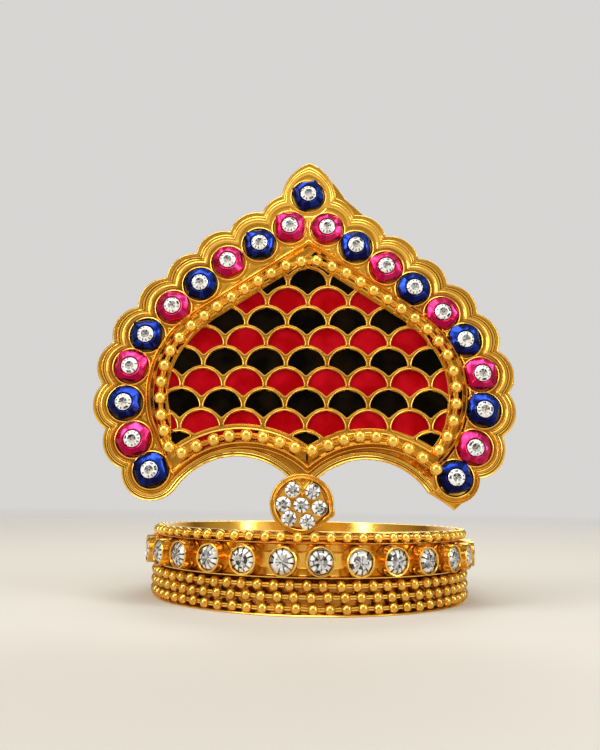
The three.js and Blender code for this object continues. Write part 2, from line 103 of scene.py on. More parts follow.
@dataclass
class Skin:
    """A closed surface in millimetres.

    Attributes:
        points: an (n, 3) array of places.
        faces: arrays of point numbers, one row a face, with rows of equal length within an array.
        grime_and_shade: an (n,) array of grime and painted shade, 1 in a crease and 0 on high, rubbed places.
        shade: one value a face, an (f,) array in the order of faces: painted reflections on stones, random tone on
            foils.
        finish: place of its material in the piece's list of finishes.
        smooth: whether its faces are shaded as one smooth surface.
    """

    points: Array
    faces: list[Array]
    grime_and_shade: Array
    shade: Array
    finish: int = 0
    smooth: bool = True


def skin_of(points: Array, faces: Sequence[Array], grime_and_shade: Array | float = 0.0, shade: Array | float = 0.5,
            finish: int = 0, smooth: bool = True) -> Skin:
    """Wraps points and faces as a skin, and spreads single values over all of its points and faces.

    Args:
        points: places in any grid shape, ending in 3.
        faces: arrays of point numbers.
        grime_and_shade: one value, or one for each point.
        shade: one value, or one for each face.
        finish: place of its material in the piece's list of finishes.
        smooth: whether it is shaded smooth.

    Returns:
        The skin.
    """
    flat = np.asarray(points, dtype=float).reshape(-1, 3)
    rows = [np.atleast_2d(np.asarray(block, dtype=np.int64)) for block in faces]
    count = sum(len(block) for block in rows)
    spread_grime_and_shade = np.broadcast_to(np.asarray(grime_and_shade, dtype=float).reshape(-1), (len(flat),)).copy()
    spread_shade = np.broadcast_to(np.asarray(shade, dtype=float).reshape(-1), (count,)).copy()
    return Skin(flat, rows, spread_grime_and_shade, spread_shade, finish, smooth)


def grid_quads(rows: int, columns: int, close_rows: bool, close_columns: bool) -> Array:
    """Numbers the four-cornered faces of a grid: a point, its right, its upper right and its upper neighbour.

    Args:
        rows: number of point rows.
        columns: number of points in a row.
        close_rows: whether the last row joins the first.
        close_columns: whether the last column joins the first.

    Returns:
        An (f, 4) array of point numbers.
    """
    row = np.arange(rows if close_rows else rows - 1)[:, None]
    column = np.arange(columns if close_columns else columns - 1)[None, :]
    above, right = (row + 1) % rows, (column + 1) % columns
    corners = [r * columns + c for r, c in ((row, column), (row, right), (above, right), (above, column))]
    return np.stack(np.broadcast_arrays(*corners), axis=-1).reshape(-1, 4)


def over_grid(values: Array | float, rows: int, columns: int) -> Array:
    """Spreads values over a grid's points: one for all of them, one for each row, or one for each point."""
    given = np.asarray(values, dtype=float)
    return np.broadcast_to(given if given.ndim == 2 else given.reshape(-1, 1), (rows, columns))


def ring_skin(grid: Array, grime_and_shade: Array | float = 0.0, closed: bool = True, **look: object) -> Skin:
    """Skins a section that is carried round a closed path.

    Args:
        grid: a (section, path, 3) array.
        grime_and_shade: one value, one for each section point, or one for each point.
        closed: whether the section closes on itself. If not, both of its ends lie on the axis.
        look: further fields of the skin.

    Returns:
        The skin.
    """
    rows, columns = grid.shape[:2]
    return skin_of(grid, [grid_quads(rows, columns, closed, True)], over_grid(grime_and_shade, rows, columns), **look)


def capped_skin(loops: Array, grime_and_shade: Array | float = 0.0, **look: object) -> Skin:
    """Skins a stack of closed loops and puts a flat lid on the first and the last.

    Args:
        loops: a (loop, point, 3) array.
        grime_and_shade: one value, one for each loop, or one for each point.
        look: further fields of the skin.

    Returns:
        The skin.
    """
    rows, columns = loops.shape[:2]
    around = np.arange(columns)
    faces = [grid_quads(rows, columns, False, True), around[::-1], around + (rows - 1) * columns]
    return skin_of(loops, faces, over_grid(grime_and_shade, rows, columns), **look)


def slab_skin(top: Array, bottom: Array, grime_and_shade: float = 0.0) -> Skin:
    """Closes an open sheet into a slab: the sheet, its underside, and a wall round their shared border.

    Args:
        top: a (row, column, 3) array of the upper sheet.
        bottom: the underside, of the same shape.
        grime_and_shade: one value for all of it.

    Returns:
        The skin.
    """
    rows, columns = top.shape[:2]
    number = np.arange(rows * columns).reshape(rows, columns)
    border = np.concatenate([number[0, :-1], number[:-1, -1], number[-1, :0:-1], number[:0:-1, 0]])
    after = np.roll(border, -1)
    under = rows * columns
    sheet = grid_quads(rows, columns, False, False)
    wall = np.stack([border, border + under, after + under, after], axis=1)
    points = np.concatenate([top.reshape(-1, 3), bottom.reshape(-1, 3)])
    return skin_of(points, [sheet, sheet[:, ::-1] + under, wall], grime_and_shade)


def turned_skin(profile: Profile, sides: int, grime_and_shade: Array | float = 0.0) -> Skin:
    """Turns a profile about the local Z axis: (r cos a, r sin a, h) for each radius r, height h and angle a.

    Args:
        profile: pairs of radius and height, which start and end on the axis or close on themselves.
        sides: number of angles in a full turn.
        grime_and_shade: one value, or one for each profile point.

    Returns:
        The skin.
    """
    pairs = np.array(profile)
    angle = even_angles(sides)
    radius, height = pairs[:, :1], pairs[:, 1:]
    grid = np.stack(np.broadcast_arrays(radius * np.cos(angle), radius * np.sin(angle), height), axis=-1)
    return ring_skin(grid, grime_and_shade, bool(pairs[0, 0] > 0.0))


def repeated_skin(template: Skin, frames: Array, places: Array, shade: Array | None = None) -> Skin:
    """Copies a skin to many places: each point is the frame's columns weighted by the point, plus the place.

    Args:
        template: the skin to copy.
        frames: a (k, 3, 3) array whose columns are the local axes, or a (1, 3, 3) array for all the copies.
        places: a (k, 3) array of origins.
        shade: optional (k, f) array with its own face values for each copy.

    Returns:
        One skin with all the copies.
    """
    count = len(places)
    points = np.einsum("kij,nj->kni", frames, template.points) + places[:, None, :]
    shift = (np.arange(count) * len(template.points))[:, None, None]
    faces = [(block[None] + shift).reshape(-1, block.shape[1]) for block in template.faces]
    values = np.tile(template.shade, (count, 1)) if shade is None else shade
    ends = np.cumsum([len(block) for block in template.faces])[:-1]
    ordered = np.concatenate([block.reshape(-1) for block in np.split(values, ends, axis=1)])
    return skin_of(points, faces, np.tile(template.grime_and_shade, count), ordered, template.finish, template.smooth)


def hollows(profile: Profile, reach: float, depth: float) -> Array:
    """Tells how far each point of a profile lies below its surroundings.

    The value is the mean height round the point, weighted by a bell curve of the given reach along the profile,
    less the point's own height, divided by depth and held between 0 and 1.

    Args:
        profile: pairs of place and height.
        reach: width of the bell curve, in millimetres along the profile.
        depth: how deep counts as fully hollow.

    Returns:
        One value for each profile point.
    """
    pairs = np.array(profile)
    along = lengths_along(pairs)
    weight = np.exp(-0.5 * ((along[:, None] - along[None, :]) / reach) ** 2)
    mean = weight @ pairs[:, 1] / weight.sum(axis=1)
    return np.clip((mean - pairs[:, 1]) / depth, 0.0, 1.0)


def rounded_loop(loop: Array, spread: float, count: int, finer: int = 4) -> Array:
    """Rounds the corners of a closed loop: even points, each the bell-curve mean of the loop round it.

    Args:
        loop: an (n, 2) array of corners or dense points.
        spread: width of the bell curve, in millimetres along the loop.
        count: number of points wanted.
        finer: how many more points the mean is taken over.

    Returns:
        A (count, 2) array.
    """
    closed = np.concatenate([loop, loop[:1]])
    along = lengths_along(closed)
    fine = np.arange(finer * count) * along[-1] / (finer * count)
    away = np.abs(fine[::finer, None] - fine[None, :])
    weight = np.exp(-0.5 * (np.minimum(away, along[-1] - away) / spread) ** 2)
    return weight @ points_along(closed, along, fine) / weight.sum(axis=1, keepdims=True)


def make_piece(name: str, skins: Sequence[Skin], finishes: Sequence[Material], nodes: Sequence[str],
               sharp_deg: float = 38.0) -> None:
    """Joins skins into one object that stands for CAD nodes and moves with the part.

    Args:
        name: the piece's name.
        skins: its closed surfaces.
        finishes: its materials, in the order that the skins count them.
        nodes: the CAD nodes that it replaces.
        sharp_deg: edges that turn by more than this are shaded sharp.
    """
    starts = np.cumsum([0] + [len(skin.points) for skin in skins[:-1]])
    faces: list[list[int]] = []
    for skin, start in zip(skins, starts):
        for block in skin.faces:
            faces.extend((block + start).tolist())
    mesh = bpy.data.meshes.new(name)
    mesh.from_pydata((np.concatenate([skin.points for skin in skins]) * MM).tolist(), [], faces)
    counts = [len(skin.shade) for skin in skins]
    # Each point's grime and painted shade, which the gilt and foil colours read.
    grime_and_shade = mesh.attributes.new("grime_and_shade", "FLOAT", "POINT")
    grime_and_shade.data.foreach_set("value", np.concatenate([skin.grime_and_shade for skin in skins]))
    shade = mesh.attributes.new("shade", "FLOAT", "FACE")
    shade.data.foreach_set("value", np.concatenate([skin.shade for skin in skins]))
    for finish in finishes:
        mesh.materials.append(finish)
    mesh.polygons.foreach_set("material_index", np.repeat([skin.finish for skin in skins], counts))
    mesh.polygons.foreach_set("use_smooth", np.repeat([skin.smooth for skin in skins], counts))
    close_poles(mesh)
    mesh.set_sharp_from_angle(angle=math.radians(sharp_deg))
    piece = bpy.data.objects.new(name, mesh)
    bpy.context.scene.collection.objects.link(piece)
    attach(piece, ROOT)
    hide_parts(*nodes)
    log.info("%s: %d faces", name, len(mesh.polygons))


def close_poles(mesh: bpy.types.Mesh, apart: float = 1e-8) -> None:
    """Merges points that share a place, such as a pole's, and turns every closed shell's faces outwards.

    Args:
        mesh: the mesh to close.
        apart: points nearer than this, in metres, become one.
    """
    work = bmesh.new()
    work.from_mesh(mesh)
    bmesh.ops.remove_doubles(work, verts=work.verts, dist=apart)
    bmesh.ops.recalc_face_normals(work, faces=work.faces)
    work.to_mesh(mesh)
    work.free()


# Small templates that are repeated


def bead(diameter: float, cuts: int = 3, grime_and_shade: float = 0.05) -> Skin:
    """A bead of a ball chain: a cube whose faces are cut into squares, each point moved out to the ball.

    The cuts are evenly spaced in angle, at the tangents of equal steps from -45 to 45 degrees.

    Args:
        diameter: of the bead.
        cuts: squares along a side of the cube.
        grime_and_shade: how much grime and painted shade dull it.

    Returns:
        The skin, with 6 cuts squared faces.
    """
    step = np.tan(np.linspace(-math.pi / 4.0, math.pi / 4.0, cuts + 1))
    u, v = np.meshgrid(step, step)
    face = np.stack([u, v, np.ones_like(u)], axis=-1)
    turns = [np.roll(face * flip, shift, axis=-1) for shift in range(3) for flip in (1.0, -1.0)]
    cube = np.stack(turns).reshape(-1, 3)
    ball = cube / np.linalg.norm(cube, axis=1, keepdims=True) * diameter / 2.0
    quads = grid_quads(cuts + 1, cuts + 1, False, False)
    shift = (np.arange(len(turns)) * (cuts + 1) ** 2)[:, None, None]
    return skin_of(ball, [(quads[None] + shift).reshape(-1, 4)], grime_and_shade)


def straight_bar(section: Array, length: float, grime_and_shade: float, smooth: bool) -> Skin:
    """Carries a section along X, with a flat lid on both ends.

    Args:
        section: an (n, 2) array of places along Y and Z.
        length: along X.
        grime_and_shade: how much grime and painted shade dull it.
        smooth: whether it is shaded smooth.

    Returns:
        The skin.
    """
    ends = np.array([-length / 2.0, length / 2.0])[:, None]
    loops = np.stack(np.broadcast_arrays(ends, section[:, 0], section[:, 1]), axis=-1)
    return capped_skin(loops, grime_and_shade, smooth=smooth)


def wire(diameter: float, sides: int = 6) -> Skin:
    """A straight wire of unit length along X."""
    angle = even_angles(sides)
    return straight_bar(np.stack([np.cos(angle), np.sin(angle)], axis=1) * diameter / 2.0, 1.0, 0.1, True)


def bar(length: float, tall: float, thick: float, edge: float) -> Skin:
    """A flat bar along X, tall in Y and thick in Z, its long edges cut off at 45 degrees."""
    half_tall, half_thick = tall / 2.0, thick / 2.0
    quarter = [(half_tall, half_thick - edge), (half_tall - edge, half_thick)]
    upper = quarter + [(-y, z) for y, z in quarter[::-1]]
    return straight_bar(np.array(upper + [(y, -z) for y, z in upper[::-1]]), length, 0.2, False)


@dataclass(frozen=True)
class Rails:
    """The pair of fine wires that joins two beads of a chain: their diameter and distance from the middle."""

    diameter: float
    spread: float


def string_of_beads(centres: Array, ball: Skin, rails: Rails, up: Array, closed: bool = True) -> list[Skin]:
    """Strings beads in a chain: a pair of wires runs from the middle of each bead to the middle of the next.

    Args:
        centres: a (k, 3) array of bead centres.
        ball: the bead.
        rails: the wires.
        up: a direction across the chain, square to the one in which the wires lie side by side, or one for each
            bead.
        closed: whether the last bead is joined to the first.

    Returns:
        The beads and the wires.
    """
    links = len(centres) if closed else len(centres) - 1
    span = (np.roll(centres, -1, axis=0) - centres)[:links]
    lengths = np.linalg.norm(span, axis=1, keepdims=True)
    axes = axes_along(span / lengths, np.broadcast_to(up, centres.shape)[:links], lengths)
    middle = centres[:links] + span / 2.0
    aside = axes[:, :, 1] * rails.spread
    wires = [repeated_skin(wire(rails.diameter), axes, middle + side * aside) for side in (-1.0, 1.0)]
    heading = np.roll(centres, -1, axis=0) - np.roll(centres, 1, axis=0)
    heading = heading / np.linalg.norm(heading, axis=1, keepdims=True)
    return [repeated_skin(ball, axes_along(heading, up, np.ones((len(centres), 1))), centres), *wires]


def axes_along(heading: Array, up: Array, length: Array) -> Array:
    """Builds axes whose first column runs along a heading and whose others lie across it.

    Args:
        heading: (k, 3) unit directions.
        up: a direction that none of them follows.
        length: (k, 1) lengths of the first columns.

    Returns:
        A (k, 3, 3) array.
    """
    side = np.cross(np.broadcast_to(up, heading.shape), heading)
    side = side / np.linalg.norm(side, axis=1, keepdims=True)
    third = np.cross(heading, side)
    return np.stack([heading * length, side, third], axis=-1)


class StoneKind(Enum):
    """How the five rings of a stone are painted with light and dark reflections, from the middle outwards.

    Each ring has the shares of its narrow and of its wide facets that are painted dark, and the painted dark and
    light value.
    The second ring of a small pale stone is a grey disc instead.
    """

    SPARKLING = (
        (0.6, 0.4, 0.10, 0.55), (0.75, 0.4, 0.10, 0.50), (0.6, 0.3, 0.08, 0.72), (0.9, 0.12, 0.03, 0.86),
        (0.6, 0.35, 0.05, 0.75),
    )
    PALE = (
        (0.8, 0.5, 0.06, 0.45), None, (0.1, 0.0, 0.3, 0.9), (0.75, 0.06, 0.02, 0.93), (0.25, 0.1, 0.25, 0.95),
    )


@dataclass(frozen=True)
class Brilliant:
    """A round cut stone: five rings of flat facets from a small middle to the girdle, over a closed back.

    Attributes:
        radius: of the girdle.
        folds: facets in a ring.
        kind: how its facets are painted with reflections.
        shares: where the rings end, as shares of the radius, and back_share: where the back does.
        drops: how far each ring's end lies below the table, as shares of the height over the girdle.
        narrow: share of a pair of facets that the narrower one takes.
        disc: painted brightness of the grey disc, how much darker its top is painted as a reflection, and how much
            its facets differ.
    """

    radius: float
    girdle: float
    table: float
    back: float
    folds: int = 20
    kind: StoneKind = StoneKind.SPARKLING
    shares: tuple[float, ...] = (0.22, 0.52, 0.66, 0.92, 1.0)
    back_share: float = 0.93
    drops: tuple[float, ...] = (0.0, 0.0, 0.15, 0.80, 1.0)
    narrow: float = 0.32
    disc: tuple[float, float, float] = (0.33, 0.24, 0.20)
    uneven: float = 0.14
    back_shade: float = 0.15

    def skin(self, finish: int) -> Skin:
        """Cuts one stone about the local Z axis.

        Args:
            finish: place of its material in the piece's list.

        Returns:
            The skin, with the middle facets, the four rings outwards, the wall and the back, in that order.
        """
        n = self.folds
        i = np.arange(n)
        corner = (i + (i % 2) * (1.0 - 2.0 * self.narrow)) * FULL_TURN / n
        height = np.append(self.table - (self.table - self.girdle) * np.array(self.drops), self.back)[:, None]
        radius = self.radius * np.append(self.shares, self.back_share)[:, None]
        rings = np.stack(np.broadcast_arrays(radius * np.cos(corner), radius * np.sin(corner), height), axis=-1)
        points = np.concatenate([[[0.0, 0.0, self.table]], rings.reshape(-1, 3)])
        middle = np.stack([np.zeros(n, int), 1 + i, 1 + (i + 1) % n], axis=1)
        bands = grid_quads(len(rings), n, False, True) + 1
        back = 1 + (len(rings) - 1) * n + i[::-1]
        return skin_of(points, [middle, bands, back], 0.0, 0.5, finish, smooth=False)

    def painted_reflections(self, spin: Array, chance: Chance) -> Array:
        """Paints each stone its own pattern of reflections: light and dark facets.

        Wide and narrow facets take turns round a ring. The grey disc, drawn for both kinds of stone, is painted
        darker towards the top as a reflection: its brightness less a share of the sine of the facet's angle.

        Args:
            spin: (k,) angles that the stones are turned by.
            chance: the seeded source of the differences.

        Returns:
            A (k, faces) array, 1 for a painted glint and 0 for a painted dark reflection.
        """
        k, n = len(spin), self.folds
        angle = spin[:, None] + even_angles(n, 0.5)
        slim = np.arange(n) % 2 == 1
        grey, darker, spread = self.disc
        disc = grey - darker * np.sin(angle) + chance.normal(0.0, spread, (k, n))
        rings = []
        for ring in self.kind.value:
            if ring is None:
                rings.append(disc)
                continue
            dark_slim, dark_wide, dark, light = ring
            picked = chance.random((k, n)) < np.where(slim, dark_slim, dark_wide)
            rings.append(np.where(picked, dark, light) + chance.normal(0.0, self.uneven, (k, n)))
        back = np.full((k, n + 1), self.back_shade)
        return np.clip(np.concatenate([*rings, back], axis=1), 0.0, 1.0)


# Shapes on the crest's plane


@dataclass(frozen=True)
class Setting:
    """How a flat piece was soldered on a little out of true: turned about the crest's heart, then moved."""

    turn_deg: float
    right: float
    up: float
    heart_z: float = 33.0

    def place(self, x: Array, z: Array) -> tuple[Array, Array]:
        """Turns points anticlockwise about the heart and moves them.

        Args:
            x: places to the right.
            z: places up.

        Returns:
            The new x and z.
        """
        cos, sin = math.cos(math.radians(self.turn_deg)), math.sin(math.radians(self.turn_deg))
        rise = z - self.heart_z
        return self.right + x * cos - rise * sin, self.up + self.heart_z + x * sin + rise * cos

    def undo(self, x: Array, z: Array) -> tuple[Array, Array]:
        """Takes points back to where they would be on a piece that sits true."""
        back = Setting(-self.turn_deg, 0.0, 0.0, self.heart_z)
        return back.place(x - self.right, z - self.up)


CREST_SETTING = Setting(-0.4, 0.0, -0.2)
PANEL_SETTING = Setting(1.0, 0.40, 0.5)
PLATE_BACK_Y = -22.6
CREST_AXES = np.array([[1.0, 0.0, 0.0], [0.0, 0.0, -1.0], [0.0, 1.0, 0.0]])
MIRROR = np.array([-1.0, 1.0])


def on_crest(x: Array, z: Array, height: Array | float) -> Array:
    """Places crest points in the part's frame: forward of the crest's back plane by their height.

    Args:
        x: places to the right.
        z: places up.
        height: forward from the back, spread over x and z.

    Returns:
        An array of the same shape with a last axis of 3.
    """
    right, rise = CREST_SETTING.place(x, z)
    forward = PLATE_BACK_Y - np.asarray(height)
    return np.stack(np.broadcast_arrays(right, forward, rise), axis=-1).astype(float)


def on_panel(x: Array, z: Array, height: Array | float) -> Array:
    """Places points of the enamel panel, which sits askew on the crest, in the part's frame."""
    return on_crest(*PANEL_SETTING.place(x, z), height)


def spun_crest_axes(spin: Array) -> Array:
    """Turns the crest's axes, whose columns are right, up and forward, about forward by each angle."""
    return CREST_AXES @ spins(spin)


@dataclass(frozen=True)
class Arc:
    """A circle on the crest's plane that part of an edge follows, hollow where the metal lies outside it."""

    x: float
    z: float
    radius: float
    hollow: bool = False
    steps: int = 14

    def offset(self, inset: float) -> "Arc":
        """The arc that lies inside the metal by an inset."""
        return Arc(self.x, self.z, self.radius + (inset if self.hollow else -inset), self.hollow, self.steps)

    def at(self, angle: Array | float) -> Array:
        """Points of the circle, each at an angle from the x axis."""
        return np.stack([self.x + self.radius * np.cos(angle), self.z + self.radius * np.sin(angle)], axis=-1)

    def meets(self, other: "Arc") -> Array:
        """Finds where this circle crosses another, or where they touch.

        Args:
            other: the second circle.

        Returns:
            A (2, 2) array of x and z.
        """
        gap = np.array([other.x - self.x, other.z - self.z])
        distance = float(np.hypot(*gap))
        along = (self.radius ** 2 - other.radius ** 2 + distance ** 2) / (2.0 * distance)
        unit = gap / distance
        side = np.array([-unit[1], unit[0]]) * half_chord(self.radius, along)
        foot = np.array([self.x, self.z]) + unit * along
        return np.stack([foot + side, foot - side])

    def walk(self, start: Array, end: Array) -> Array:
        """Walks from one point towards another, without the last: clockwise where hollow, else anticlockwise.

        Args:
            start: x and z of the first point.
            end: x and z of the last point.

        Returns:
            A (steps, 2) array.
        """
        turn = -1 if self.hollow else 1
        first, last = (math.atan2(point[1] - self.z, point[0] - self.x) for point in (start, end))
        sweep = turn * ((turn * (last - first)) % FULL_TURN)
        return self.at(first + sweep * np.arange(self.steps) / self.steps)


@dataclass
class CrestEdge:
    """The crest's scalloped edge: a lobe round each stud, a pointed top and two arches below.

    Between the outer edge, at a share of 0, and the collets, at a share of 1, each lobe's circle moves and shrinks
    in proportion.

    Attributes:
        last_radius: of the lowest right lobe, which ends in a pointed tip.
        lobe_shift: how far a lobe's middle lies outside its stud, at the foot and at the shoulders.
        shift_z: the heights between which that grows.
        moulding: radius of a lobe's moulding at its inner end, and its width along the arches.
        side: the circle of the side's studs, first_deg: where the lowest stands, and step_deg: their steps.
        shoulder_end: the last stud before the top one, and shoulder_bulge: how far the line to it bows out.
        peak_inner: how far apart the two circles of the peak's inner end are, and how much larger.
        wobble: how far out of line a stud is set by hand, as a spread, and most_wobble: the furthest.
    """

    lobe_radius: float = 4.0
    last_radius: float = 3.35
    lobe_shift: tuple[float, float] = (-0.05, 1.05)
    shift_z: tuple[float, float] = (17.0, 40.0)
    moulding: tuple[float, float] = (2.85, 1.25)
    side: Arc = Arc(8.4, 28.45, 15.75)
    side_studs: int = 6
    first_deg: float = -42.3
    step_deg: float = 18.34
    shoulder_studs: int = 4
    shoulder_end: tuple[float, float] = (2.62, 52.56)
    shoulder_bulge: float = 0.75
    top_stud_z: float = 57.6
    peak_spring_z: float = 56.9
    peak_half_width: float = 3.95
    peak_rise: float = 5.9
    peak_inner: tuple[float, float] = (0.5, 0.1)
    arch_centre: tuple[float, float] = (8.6, 10.3)
    arch_steps: int = 64
    heart: tuple[float, float] = (0.0, 33.0)
    wobble: float = 0.12
    most_wobble: float = 0.25
    seed: int = 11

    def studs(self) -> Array:
        """Lists all 21 stud centres from the lowest left, over the top, to the lowest right.

        The side's studs stand evenly round a circle, and the shoulder's on a bowed line, straight plus
        4 b s (1 - s). Each is then out of line by a seeded chance, because they were set by hand.
        """
        side = self.side.at(np.radians(self.first_deg + self.step_deg * np.arange(self.side_studs)))
        chord = np.array(self.shoulder_end) - side[-1]
        outward = np.array([chord[1], -chord[0]]) / np.hypot(*chord)
        share = (np.arange(1, self.shoulder_studs + 1) / self.shoulder_studs)[:, None]
        bow = 4.0 * self.shoulder_bulge * share * (1.0 - share)
        right = np.concatenate([side, side[-1] + share * chord + bow * outward])
        studs = np.concatenate([right * MIRROR, [[0.0, self.top_stud_z]], right[::-1]])
        chance = np.random.default_rng(self.seed).normal(0.0, self.wobble, studs.shape)
        return studs + np.clip(chance, -self.most_wobble, self.most_wobble)

    def arcs(self, share: float) -> list[Arc]:
        """Lists the edge's arcs anticlockwise from the lowest left lobe.

        Args:
            share: 0 at the outer edge, 1 at the collets.

        Returns:
            The arcs.
        """
        studs = self.studs()
        top = len(studs) // 2
        outward = studs - np.array(self.heart)
        outward = outward / np.hypot(*outward.T)[:, None]
        outer = studs + np.interp(studs[:, 1], self.shift_z, self.lobe_shift)[:, None] * outward
        inner_radius, arch_width = self.moulding

        def blend(start: Array, end: Array, first: float, last: float) -> Arc:
            """A circle part of the way from one place and radius to another."""
            x, z = start + share * (end - start)
            return Arc(x, z, first + share * (last - first))

        lobes = [blend(a, b, self.lobe_radius, inner_radius) for a, b in zip(outer[:-1], studs)]
        lobes.append(blend(outer[-1], studs[-1], self.last_radius, inner_radius))
        arches, flanks = [], []
        flank = (self.peak_half_width ** 2 + self.peak_rise ** 2) / (2.0 * self.peak_half_width)
        apart, larger = self.peak_inner
        for lowest, side in ((outer[0], -1.0), (outer[-1], 1.0)):
            x, z = side * self.arch_centre[0], self.arch_centre[1]
            radius = math.hypot(lowest[0] - x, lowest[1] - z) - self.lobe_radius + share * arch_width
            arches.append(Arc(x, z, radius, hollow=True, steps=self.arch_steps))
            spring = np.array([side * (flank - self.peak_half_width), self.peak_spring_z])
            flanks.append(blend(spring, studs[top] + [side * apart, 0.0], flank, inner_radius + larger))
        return [lobes[0], *arches, *lobes[:top:-1], *flanks, *lobes[top - 1:0:-1]]

    def joint(self, a: Arc, b: Arc) -> Array:
        """Picks where two neighbouring arcs meet: the outer crossing, or the inner one between the arches."""
        options = a.meets(b)
        away = np.hypot(*(options - np.array(self.heart)).T)
        return options[int(np.argmin(away))] if a.hollow and b.hollow else options[int(np.argmax(away))]

    def outline(self, share: float) -> Array:
        """Draws the edge, or a line of its moulding.

        Args:
            share: 0 at the outer edge, 1 at the collets.

        Returns:
            An (n, 2) closed loop with the same number of points for every share.
        """
        arcs = self.arcs(share)
        joints = [self.joint(arc, after) for arc, after in zip(arcs, arcs[1:] + arcs[:1])]
        return np.concatenate([arc.walk(joints[i - 1], joints[i]) for i, arc in enumerate(arcs)])


@dataclass
class PanelEdge:
    """The enamel panel's edge: straight shoulders from an apex, round sides and two arched feet.

    Attributes:
        drawn_out: how far the lower left corner is drawn out along the foot, and how much further for each inset.
        straight_deg: how far below its middle the left side turns straight towards that corner.
        past_corner: how far below its corner the right side still bounds the panel, in radians.
    """

    drawn_out: tuple[float, float] = (1.1, 0.25)
    straight_deg: float = 17.0
    past_corner: float = 0.25
    apex_z: float = 49.5
    side: Arc = Arc(8.4, 28.45, 12.9, steps=60)
    foot: Arc = Arc(8.45, 8.85, 12.76, hollow=True, steps=60)
    shoulder_steps: int = 30

    @property
    def slope(self) -> float:
        """Angle of the shoulder below level, at which its line touches the side circle."""
        drop = self.apex_z - self.side.z
        reach = math.hypot(self.side.x, drop)
        return math.atan2(drop, self.side.x) - math.asin(self.side.radius / reach)

    def apex(self, inset: float) -> float:
        """Height of the apex of the edge moved inwards by an inset."""
        return self.apex_z - inset / math.cos(self.slope)

    def corner(self, inset: float) -> Array:
        """Where foot and side meet on the right, x and z, moved inwards by an inset."""
        options = self.foot.offset(inset).meets(self.side.offset(inset))
        return options[int(np.argmax(options[:, 0]))]

    def outline(self, inset: float) -> Array:
        """Draws the edge moved inwards by an inset, anticlockwise from the cleft between the feet.

        Args:
            inset: distance inside the true edge, negative for outside.

        Returns:
            An (n, 2) closed loop with the same number of points for every inset.
        """
        side, foot = self.side.offset(inset), self.foot.offset(inset)
        cleft = np.array([0.0, foot.z + half_chord(foot.radius, foot.x)])
        corner, apex = self.corner(inset), np.array([0.0, self.apex(inset)])
        end = np.array([side.x, side.z]) + side.radius * np.array([math.sin(self.slope), math.cos(self.slope)])
        share = (np.arange(self.shoulder_steps) / self.shoulder_steps)[:, None]
        shoulder = end + share * (apex - end)
        right = np.concatenate([foot.walk(cleft, corner), side.walk(corner, end), shoulder])
        low, high = self.chord(inset)
        third = side.steps // 3
        line = low + (np.arange(third) / third)[:, None] * (high - low)
        bow = Arc(side.x, side.z, side.radius, steps=side.steps - third).walk(high, end)
        left = np.concatenate([foot.walk(cleft, low), line, bow, shoulder])
        return np.concatenate([right, apex[None], left[:0:-1] * MIRROR])

    def loops(self, insets: Sequence[float]) -> Array:
        """Draws the edge at each inset, an (inset, n, 2) array."""
        return np.stack([self.outline(inset) for inset in insets])

    def chord(self, inset: float) -> tuple[Array, Array]:
        """Lower and upper end of the straight stretch of the left side, as on the right."""
        side, foot = self.side.offset(inset), self.foot.offset(inset)
        x = self.corner(inset)[0] + self.drawn_out[0] + self.drawn_out[1] * inset
        low = np.array([x, foot.z + half_chord(foot.radius, x - foot.x)])
        return low, side.at(-math.radians(self.straight_deg))

    def inside(self, x: Array, z: Array) -> Array:
        """Measures how far points lie inside the edge: the least of the distances to shoulder, side and foot.

        Args:
            x: places to the right.
            z: places up.

        Returns:
            Distances, negative outside.
        """
        reach = np.abs(x)
        shoulder = (self.apex_z - z) * math.cos(self.slope) - reach * math.sin(self.slope)
        across, above = reach - self.side.x, z - self.side.z
        facing = np.arctan2(above, across)
        corner = self.corner(0.0)
        lowest = math.atan2(corner[1] - self.side.z, corner[0] - self.side.x) - self.past_corner
        on_side = (facing > lowest) & (facing < math.pi / 2.0 - self.slope)
        side = np.where(on_side, self.side.radius - np.hypot(across, above), np.inf)
        low, high = self.chord(0.0)
        run, rise = high - low
        chord = ((z - low[1]) * run - (reach - low[0]) * rise) / math.hypot(rise, run)
        side = np.where((x < 0.0) & (z < high[1]), chord, side)
        foot = np.hypot(reach - self.foot.x, z - self.foot.z) - self.foot.radius
        return np.minimum(np.minimum(shoulder, side), foot)

    def top(self, x: Array, inset: float) -> Array:
        """Upper edge above each x, moved inwards by an inset."""
        side = self.side.offset(inset)
        reach = np.abs(x)
        line = self.apex(inset) - reach * math.tan(self.slope)
        bow = side.z + half_chord(side.radius, reach - side.x)
        return np.where(reach < side.x + side.radius * math.sin(self.slope), line, bow)

    def bottom(self, x: Array, inset: float) -> Array:
        """Lower edge above each x, moved inwards by an inset."""
        side, foot = self.side.offset(inset), self.foot.offset(inset)
        reach = np.abs(x)
        on_foot = foot.z + half_chord(foot.radius, reach - foot.x)
        on_side = side.z - half_chord(side.radius, reach - side.x)
        low, high = self.chord(inset)
        chord = low[1] + (reach - low[0]) * (high[1] - low[1]) / (high[0] - low[0])
        on_side = np.where((x < 0.0) & (reach < high[0]), chord, on_side)
        return np.where(reach < side.x, on_foot, np.maximum(on_foot, on_side))

    def ring(self, profile: Profile, grime_and_shade: Array | float = 0.0) -> Skin:
        """Carries a closed profile of inset and height round the panel.

        Args:
            profile: pairs of inset and height.
            grime_and_shade: one value, or one for each profile point.

        Returns:
            The skin.
        """
        insets, heights = np.array(profile).T
        loops = self.loops(insets)
        return ring_skin(on_panel(loops[:, :, 0], loops[:, :, 1], heights[:, None]), grime_and_shade)


# Finishes


